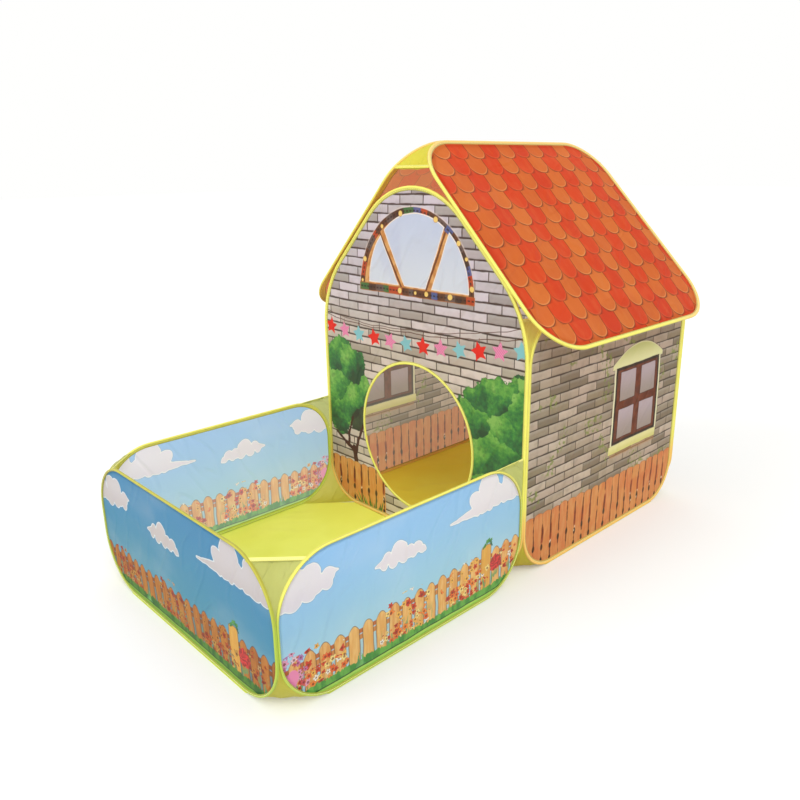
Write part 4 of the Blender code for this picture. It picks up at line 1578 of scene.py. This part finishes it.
def webShape(edges):
    # each edge is (start, centre, axis, turn); a seam edge has a plain step instead of a turn
    bm = bmesh.new()
    ends = []
    for start, centre, axis, turn in edges:
        before = len(bm.verts)
        vert = bm.verts.new(start)
        if centre is None:
            for _ in range(web["steps"]):
                vert = [g for g in bmesh.ops.extrude_vert_indiv(bm, verts=[vert])["verts"]][0]
                bmesh.ops.translate(bm, verts=[vert], vec=axis / web["steps"])
        else:
            bmesh.ops.spin(
                bm, geom=[vert], cent=centre, axis=axis, angle=turn, steps=web["steps"], use_duplicate=False
            )
        bm.verts.ensure_lookup_table()
        ends.append([v.co.copy() for v in bm.verts[before:]])
    bmesh.ops.bridge_loops(bm, edges=bm.edges[:])
    firstSet = {tuple(round(c, 6) for c in p) for p in ends[0]}
    rungs = [
        e for e in bm.edges if len({tuple(round(c, 6) for c in v.co) in firstSet for v in e.verts}) == 2
    ]
    bmesh.ops.subdivide_edges(bm, edges=rungs, cuts=web["rungs"], use_grid_fill=True)
    return bm, ends


def shapeWeb(bm, ends, bow, fold):
    # bend the cloth a little and crease it along its length
    bm.normal_update()
    outward = sum((f.normal for f in bm.faces), Vector()).normalized()
    length = sum((b - a).length for a, b in zip(ends[0], ends[0][1:]))
    shares = {}
    for v in bm.verts:
        k = min(range(len(ends[0])), key=lambda n: distanceToLine(v.co, ends[0][n], ends[1][n]))
        a, b = ends[0][k], ends[1][k]
        span = (b - a).length
        shares[v] = (
            k / (len(ends[0]) - 1), 0.5 if span < 1e-6 else clamp((v.co - a).dot(b - a) / span ** 2), span
        )

    def place(vert):
        climb, cross, span = shares[vert]
        return (cross - 0.5) * span, climb * length

    mapLoops(bm, "webMap", place)
    for v, (climb, cross, span) in shares.items():
        middle = 4 * cross * (1 - cross)
        wave = math.sin(cross * math.pi * 5 + climb * 2.0) * fold * min(1.0, span / 0.05)
        v.co += outward * (middle * (bow * span + wave))


def distanceToLine(spot, a, b):
    way = b - a
    if way.length < 1e-6:
        return (spot - a).length
    share = clamp((spot - a).dot(way) / way.length_squared)
    return (spot - a - way * share).length


def hemShape(points, way, width, thick):
    # a folded hem: a flat closed section drawn along the web's free edge
    bm = bmesh.new()
    across = bm.verts.layers.float.new("across")
    along = bm.verts.layers.float.new("along")
    chord = (points[-1] - points[0]).normalized()
    facing = way.cross(chord).normalized()
    section = [(0.0, 0.45), (0.04, 0.5), (0.5, 0.42), (0.93, 0.5), (1.0, 0.3), (1.04, 0.0)]
    section = section + [(a, -b) for a, b in reversed(section[:-1])]
    ring = []
    for a, b in section:
        vert = bm.verts.new(points[0] + way * (a * width - width) + facing * (b * thick))
        vert[across] = (1.04 - a) * width * (1 if b >= 0 else -1)
        ring.append(vert)
    edges = [bm.edges.new((ring[k - 1], ring[k])) for k in range(len(ring))]
    bmesh.ops.edgeloop_fill(bm, edges=edges)
    travelled = 0.0
    for start, end in zip(points, points[1:]):
        verts, edges, _ = grow(bm, edges)
        bmesh.ops.translate(bm, verts=verts, vec=end - start)
        travelled += (end - start).length
        for vert in verts:
            vert[along] = travelled
    bmesh.ops.edgeloop_fill(bm, edges=edges)
    mapLoops(bm, "tapeMap", lambda vert: (vert[along], vert[across]))
    bmesh.ops.recalc_face_normals(bm, faces=bm.faces)
    return bm


def flatPattern(ends):
    # the strip between the two sewn edges, unrolled triangle by triangle: its least rectangle, and area
    points = [p for pair in zip(*ends) for p in pair]
    laid = [Vector((0, 0)), Vector(((points[1] - points[0]).length, 0))]
    area = 0.0
    for k in range(2, len(points)):
        near, far = (points[k] - points[k - 2]).length, (points[k] - points[k - 1]).length
        span = laid[k - 1] - laid[k - 2]
        base = span.length
        along = (near ** 2 - far ** 2 + base ** 2) / (2 * base)
        rise = math.sqrt(max(0.0, near ** 2 - along ** 2))
        unit = span / base
        aside = Vector((-unit.y, unit.x))
        if k > 2 and (laid[k - 3] - laid[k - 2]).dot(aside) > 0:
            aside = -aside
        laid.append(laid[k - 2] + unit * along + aside * rise)
        area += base * rise / 2
    boxes = []
    for degree in range(90):
        c, s = math.cos(math.radians(degree)), math.sin(math.radians(degree))
        xs, ys = [p.x * c + p.y * s for p in laid], [p.y * c - p.x * s for p in laid]
        sides = sorted((max(xs) - min(xs), max(ys) - min(ys)))
        boxes.append((sides[0] * sides[1], sides))
    return min(boxes)[1], area


def addWeb(name, bodies, edges, look="web", hemLook="hem", bow=0.04, fold=0.0012, flatten=None):
    # flatten is the fold, and the panel, given for a web with one body; nothing here lays the web down for
    # them
    bm, ends = webShape(edges)
    shapeWeb(bm, ends, bow, fold)
    flat, area = flatPattern(ends)
    cloth = makeObject(name + "_cloth_sheet", bm, [materials[look]])
    pieces = [cloth]
    if hemLook:
        # along the free edge, from one panel to the other
        a, b = ends[0][-1], ends[1][-1]
        way = ((a - ends[0][-2]) + (b - ends[1][-2])).normalized()
        rung = [a + (b - a) * k / 8 for k in range(9)]
        pieces.append(
            makeObject(
                name + "_hem", hemShape(rung, way, web["hemWidth"], web["hemThick"]), [materials[hemLook]]
            )
        )
    for piece in pieces:
        if len(bodies) == 2:
            middle = [sum(points, Vector()) / len(points) for points in ends]
            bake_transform(piece, bodies[0], bodies[1], start=middle[0], end=middle[1])
        else:
            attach(piece, bodies[0])
            joint, spec = flatten[0], panels[flatten[1]]
            tuple(spec["through"])
            tuple(spec["origin"])
            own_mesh(piece)
    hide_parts(name)


narrow, footEnd, eaveEnd, yardHem, joinHem, joinTail = 0.06, 0.97, 0.88, 0.75, 0.95, 0.15
quarterTurn = math.pi / 2
seamIn = -web["seamIn"]


def cornerEdge(name, side, level, first, last):
    start, centre, axis = cornerStart(name, side, level, first, seamIn)
    return start, centre, axis, (last - first) * quarterTurn


def cornerPair(one, oneSide, other, otherSide, level, first, last):
    return cornerEdge(one, oneSide, level, first, last), cornerEdge(other, otherSide, level, first, last)


def cornerHeight(name, level, share):
    spec = panels[name]
    r = spec["radius"]
    middle = spec["height"] - r if level > 0 else r
    return middle + level * r * math.sin(share * quarterTurn)


for side, word in ((1, "right"), (-1, "left")):
    wall, yardWall = word + "_wall", "yard_" + word
    for gable, end in (("front_wall", -1), ("back_wall", 1)):
        label = gable.split("_")[0] + "_" + word
        body = panels[gable]["body"]
        pair = [body, wall] if not (gable == "back_wall" and side < 0) else [body]
        lie = ("house_fold", gable)
        addWeb(
            "web_foot_" + label, pair, cornerPair(gable, side, wall, end, -1, narrow, footEnd), "shadedFootWeb",
            None, flatten=lie
        )
        heights = [cornerHeight(wall, 1, share) for share in (narrow, eaveEnd)]
        bend = gableStart(gable, side, heights[0], heights[1], seamIn)
        addWeb(
            "web_eave_" + label, pair, (bend, cornerEdge(wall, end, 1, narrow, eaveEnd)), "brightenedEaveWeb",
            bow=0.05, fold=0.0016, flatten=lie
        )
    far = ["yard_front", yardWall] if side > 0 else ["yard_front"]
    lie = ("yard_fold", "yard_front")
    addWeb(
        "web_yard_foot_" + word, far, cornerPair("yard_front", side, yardWall, -1, -1, narrow, footEnd),
        "shadedFootWeb", None, flatten=lie
    )
    addWeb(
        "web_yard_top_" + word, far, cornerPair("yard_front", side, yardWall, -1, 1, narrow, yardHem),
        "shadedYardWeb", bow=0.05, flatten=lie
    )
    near = ["tent_base", yardWall]
    addWeb(
        "web_join_foot_" + word, near, cornerPair("front_wall", side, yardWall, 1, -1, narrow, footEnd),
        "shadedFootWeb", None
    )
    low, high = (foot + cornerHeight(yardWall, 1, share) for share in (joinTail, joinHem))
    seam = Vector((side * hw, tent["frontY"] - 0.002, low))
    addWeb(
        "web_join_top_" + word, near,
        ((seam, None, Vector((0, 0, high - low)), 0), cornerEdge(yardWall, 1, 1, joinTail, joinHem)),
        "shadedYardWeb", bow=0.02
    )
for end, word, body in ((-1, "front", "roof_right"), (1, "back", "roof_left")):
    addWeb(
        "web_ridge_" + word, [body], cornerPair("roof_right", end, "roof_left", end, 1, 0.8, 0.2),
        hemLook="ridgeHem", bow=0.03, flatten=("house_fold", body)
    )
print("corner webs made")


# Floors: one sheet under the house and one under the yard
floorPlan = {"cell": 0.02, "lift": 0.0002, "ripple": 0.0006, "inset": 0.0018, "flatRim": 0.06}


def floorShape(nearY, farY, nearCut, farCut, sideCut):
    bm = bmesh.new()
    halfWide = faceX - floorPlan["inset"]
    w, d = 2 * halfWide, farY - nearY
    bmesh.ops.create_grid(
        bm, x_segments=round(w / floorPlan["cell"]), y_segments=round(d / floorPlan["cell"]), size=0.5
    )
    bmesh.ops.scale(bm, verts=bm.verts, vec=(w, d, 1))
    bmesh.ops.translate(bm, verts=bm.verts, vec=(0, (nearY + farY) / 2, floorPlan["lift"]))
    for side in (-1, 1):
        for y, way, cut in ((nearY, -1, nearCut), (farY, 1, farCut)):
            a, b = Vector((side * (halfWide - cut), y, 0)), Vector((side * halfWide, y - way * sideCut, 0))
            normal = Vector(((b - a).y, -(b - a).x, 0))
            normal = normal if normal.dot(Vector((side, way, 0))) > 0 else -normal
            bmesh.ops.bisect_plane(
                bm, geom=bm.verts[:] + bm.edges[:] + bm.faces[:], plane_co=a, plane_no=normal,
                clear_outer=True
            )
    mapLoops(bm, "clothMap", lambda vert: (vert.co.x, vert.co.y))
    area = sum(f.calc_area() for f in bm.faces)
    for v in bm.verts:
        inside = min(halfWide - abs(v.co.x), v.co.y - nearY, farY - v.co.y)
        share = clamp(inside / floorPlan["flatRim"])
        v.co.z += share * floorPlan["ripple"] * (0.6 + noise.noise(Vector((v.co.x * 6, v.co.y * 5, 1.7))))
    return bm, area, (w, d)


def cutFor(radius):
    # the corner is cut where the web over it comes down
    return radius * (1 - math.cos(0.94 * quarterTurn))


houseCut, yardCut, seamY, seamGap = cutFor(hc), cutFor(yc), tent["frontY"], 0.0002
for name, look, nearY, farY, cuts, joint in (
    ("house_floor", "houseFloor", seamY + seamGap, tent["backY"] + halfTape, [houseCut] * 3, "house_fold"),
    (
        "yard_floor", "floor", tent["yardY"] - halfTape, seamY - seamGap, [yardCut, houseCut, yardCut],
        "yard_fold"
    ),
):
    bm, area, flat = floorShape(nearY, farY, *cuts)
    floorSheet = makeObject(name + "_sheet", bm, [materials[look]])
    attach(floorSheet, "tent_base")
    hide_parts(name)
    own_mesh(floorSheet)
print("floors made")

# The steel stays as it is in CAD
for name, node in frame["nodes"].items():
    if name.endswith(("_hoop", "_ferrule")):
        node.data.materials.clear()
        node.data.materials.append(materials["steel"])


# Studio: a pale floor, a white surround and soft lamps
studio = {
    "surround": 0.84, "keyStrength": 1.15, "keyAngle": 40, "keyFrom": (2.2, -0.9, 2.6),
    "fillStrength": 1.05, "fillFrom": (-0.9, -2.4, 1.3), "floorTone": 0.78, "floorGlow": 0.16,
}


def stageFloor():
    bm = bmesh.new()
    bmesh.ops.create_grid(bm, x_segments=1, y_segments=1, size=30)
    bmesh.ops.translate(bm, verts=bm.verts, vec=(0, 0, -0.0006))
    material, shader, _ = newMaterial("studioFloor")
    tone = studio["floorTone"]
    fill(shader, {"Base Color": (tone, tone, tone * 0.985, 1), "Roughness": 0.9, "Specular IOR Level": 0.0})
    path = newNode("LightPath")
    glow = newNode("Emission")
    glow.inputs["Color"].default_value = (1, 1, 0.99, 1)
    put(glow.inputs["Strength"], calc("MULTIPLY", path.outputs["Is Camera Ray"], studio["floorGlow"]))
    both = newNode("AddShader")
    put(both.inputs[0], shader.outputs[0])
    put(both.inputs[1], glow.outputs[0])
    surface(material, both)
    floor = makeObject("studio_floor", bm, [material], smooth=False)


def surround():
    world = bpy.data.worlds.new("studio")
    bpy.context.scene.world = world
    world.use_nodes = True
    building["tree"] = world.node_tree
    world.node_tree.nodes.clear()
    path = newNode("LightPath")
    seen = most(path.outputs["Is Camera Ray"], path.outputs["Is Glossy Ray"])
    strength = chosen(seen, studio["surround"], 1.0)
    back = newNode("Background")
    back.inputs["Color"].default_value = (1, 1, 0.99, 1)
    put(back.inputs["Strength"], strength)
    put(newNode("OutputWorld").inputs["Surface"], back.outputs[0])


def sun(name, strength, angle, source):
    lamp = bpy.data.lights.new(name, "SUN")
    lamp.energy = strength
    lamp.angle = math.radians(angle)
    thing = bpy.data.objects.new(name, lamp)
    bpy.context.scene.collection.objects.link(thing)
    thing.rotation_euler = (-Vector(source)).to_track_quat("-Z", "Y").to_euler()


stageFloor()
surround()
sun("key", studio["keyStrength"], studio["keyAngle"], studio["keyFrom"])
sun("fill", studio["fillStrength"], studio["keyAngle"], studio["fillFrom"])

# Camera, solved from the panels' outlines in the photograph
view = {
    "place": (1.2928, -1.2715, 0.9265), "yaw": 46.8885, "pitch": 17.2448, "roll": 0.9157, "focal": 746.39,
    "side": 800
}
yaw, pitch, roll = (math.radians(view[key]) for key in ("yaw", "pitch", "roll"))
ahead = Vector((-math.sin(yaw) * math.cos(pitch), math.cos(yaw) * math.cos(pitch), -math.sin(pitch)))
level = Vector((math.cos(yaw), math.sin(yaw), 0))
down = ahead.cross(level)
rightWay = level * math.cos(roll) + down * math.sin(roll)
downWay = down * math.cos(roll) - level * math.sin(roll)
cameraData = bpy.data.cameras.new("camera")
cameraData.lens = view["focal"] / view["side"] * cameraData.sensor_width
camera = bpy.data.objects.new("camera", cameraData)
bpy.context.scene.collection.objects.link(camera)
camera.matrix_world = (
    Matrix.Translation(view["place"]) @ Matrix((rightWay, -downWay, -ahead)).transposed().to_4x4()
)
bpy.context.scene.camera = camera
bpy.context.scene.view_settings.view_transform = "Standard"
print("studio and camera set")
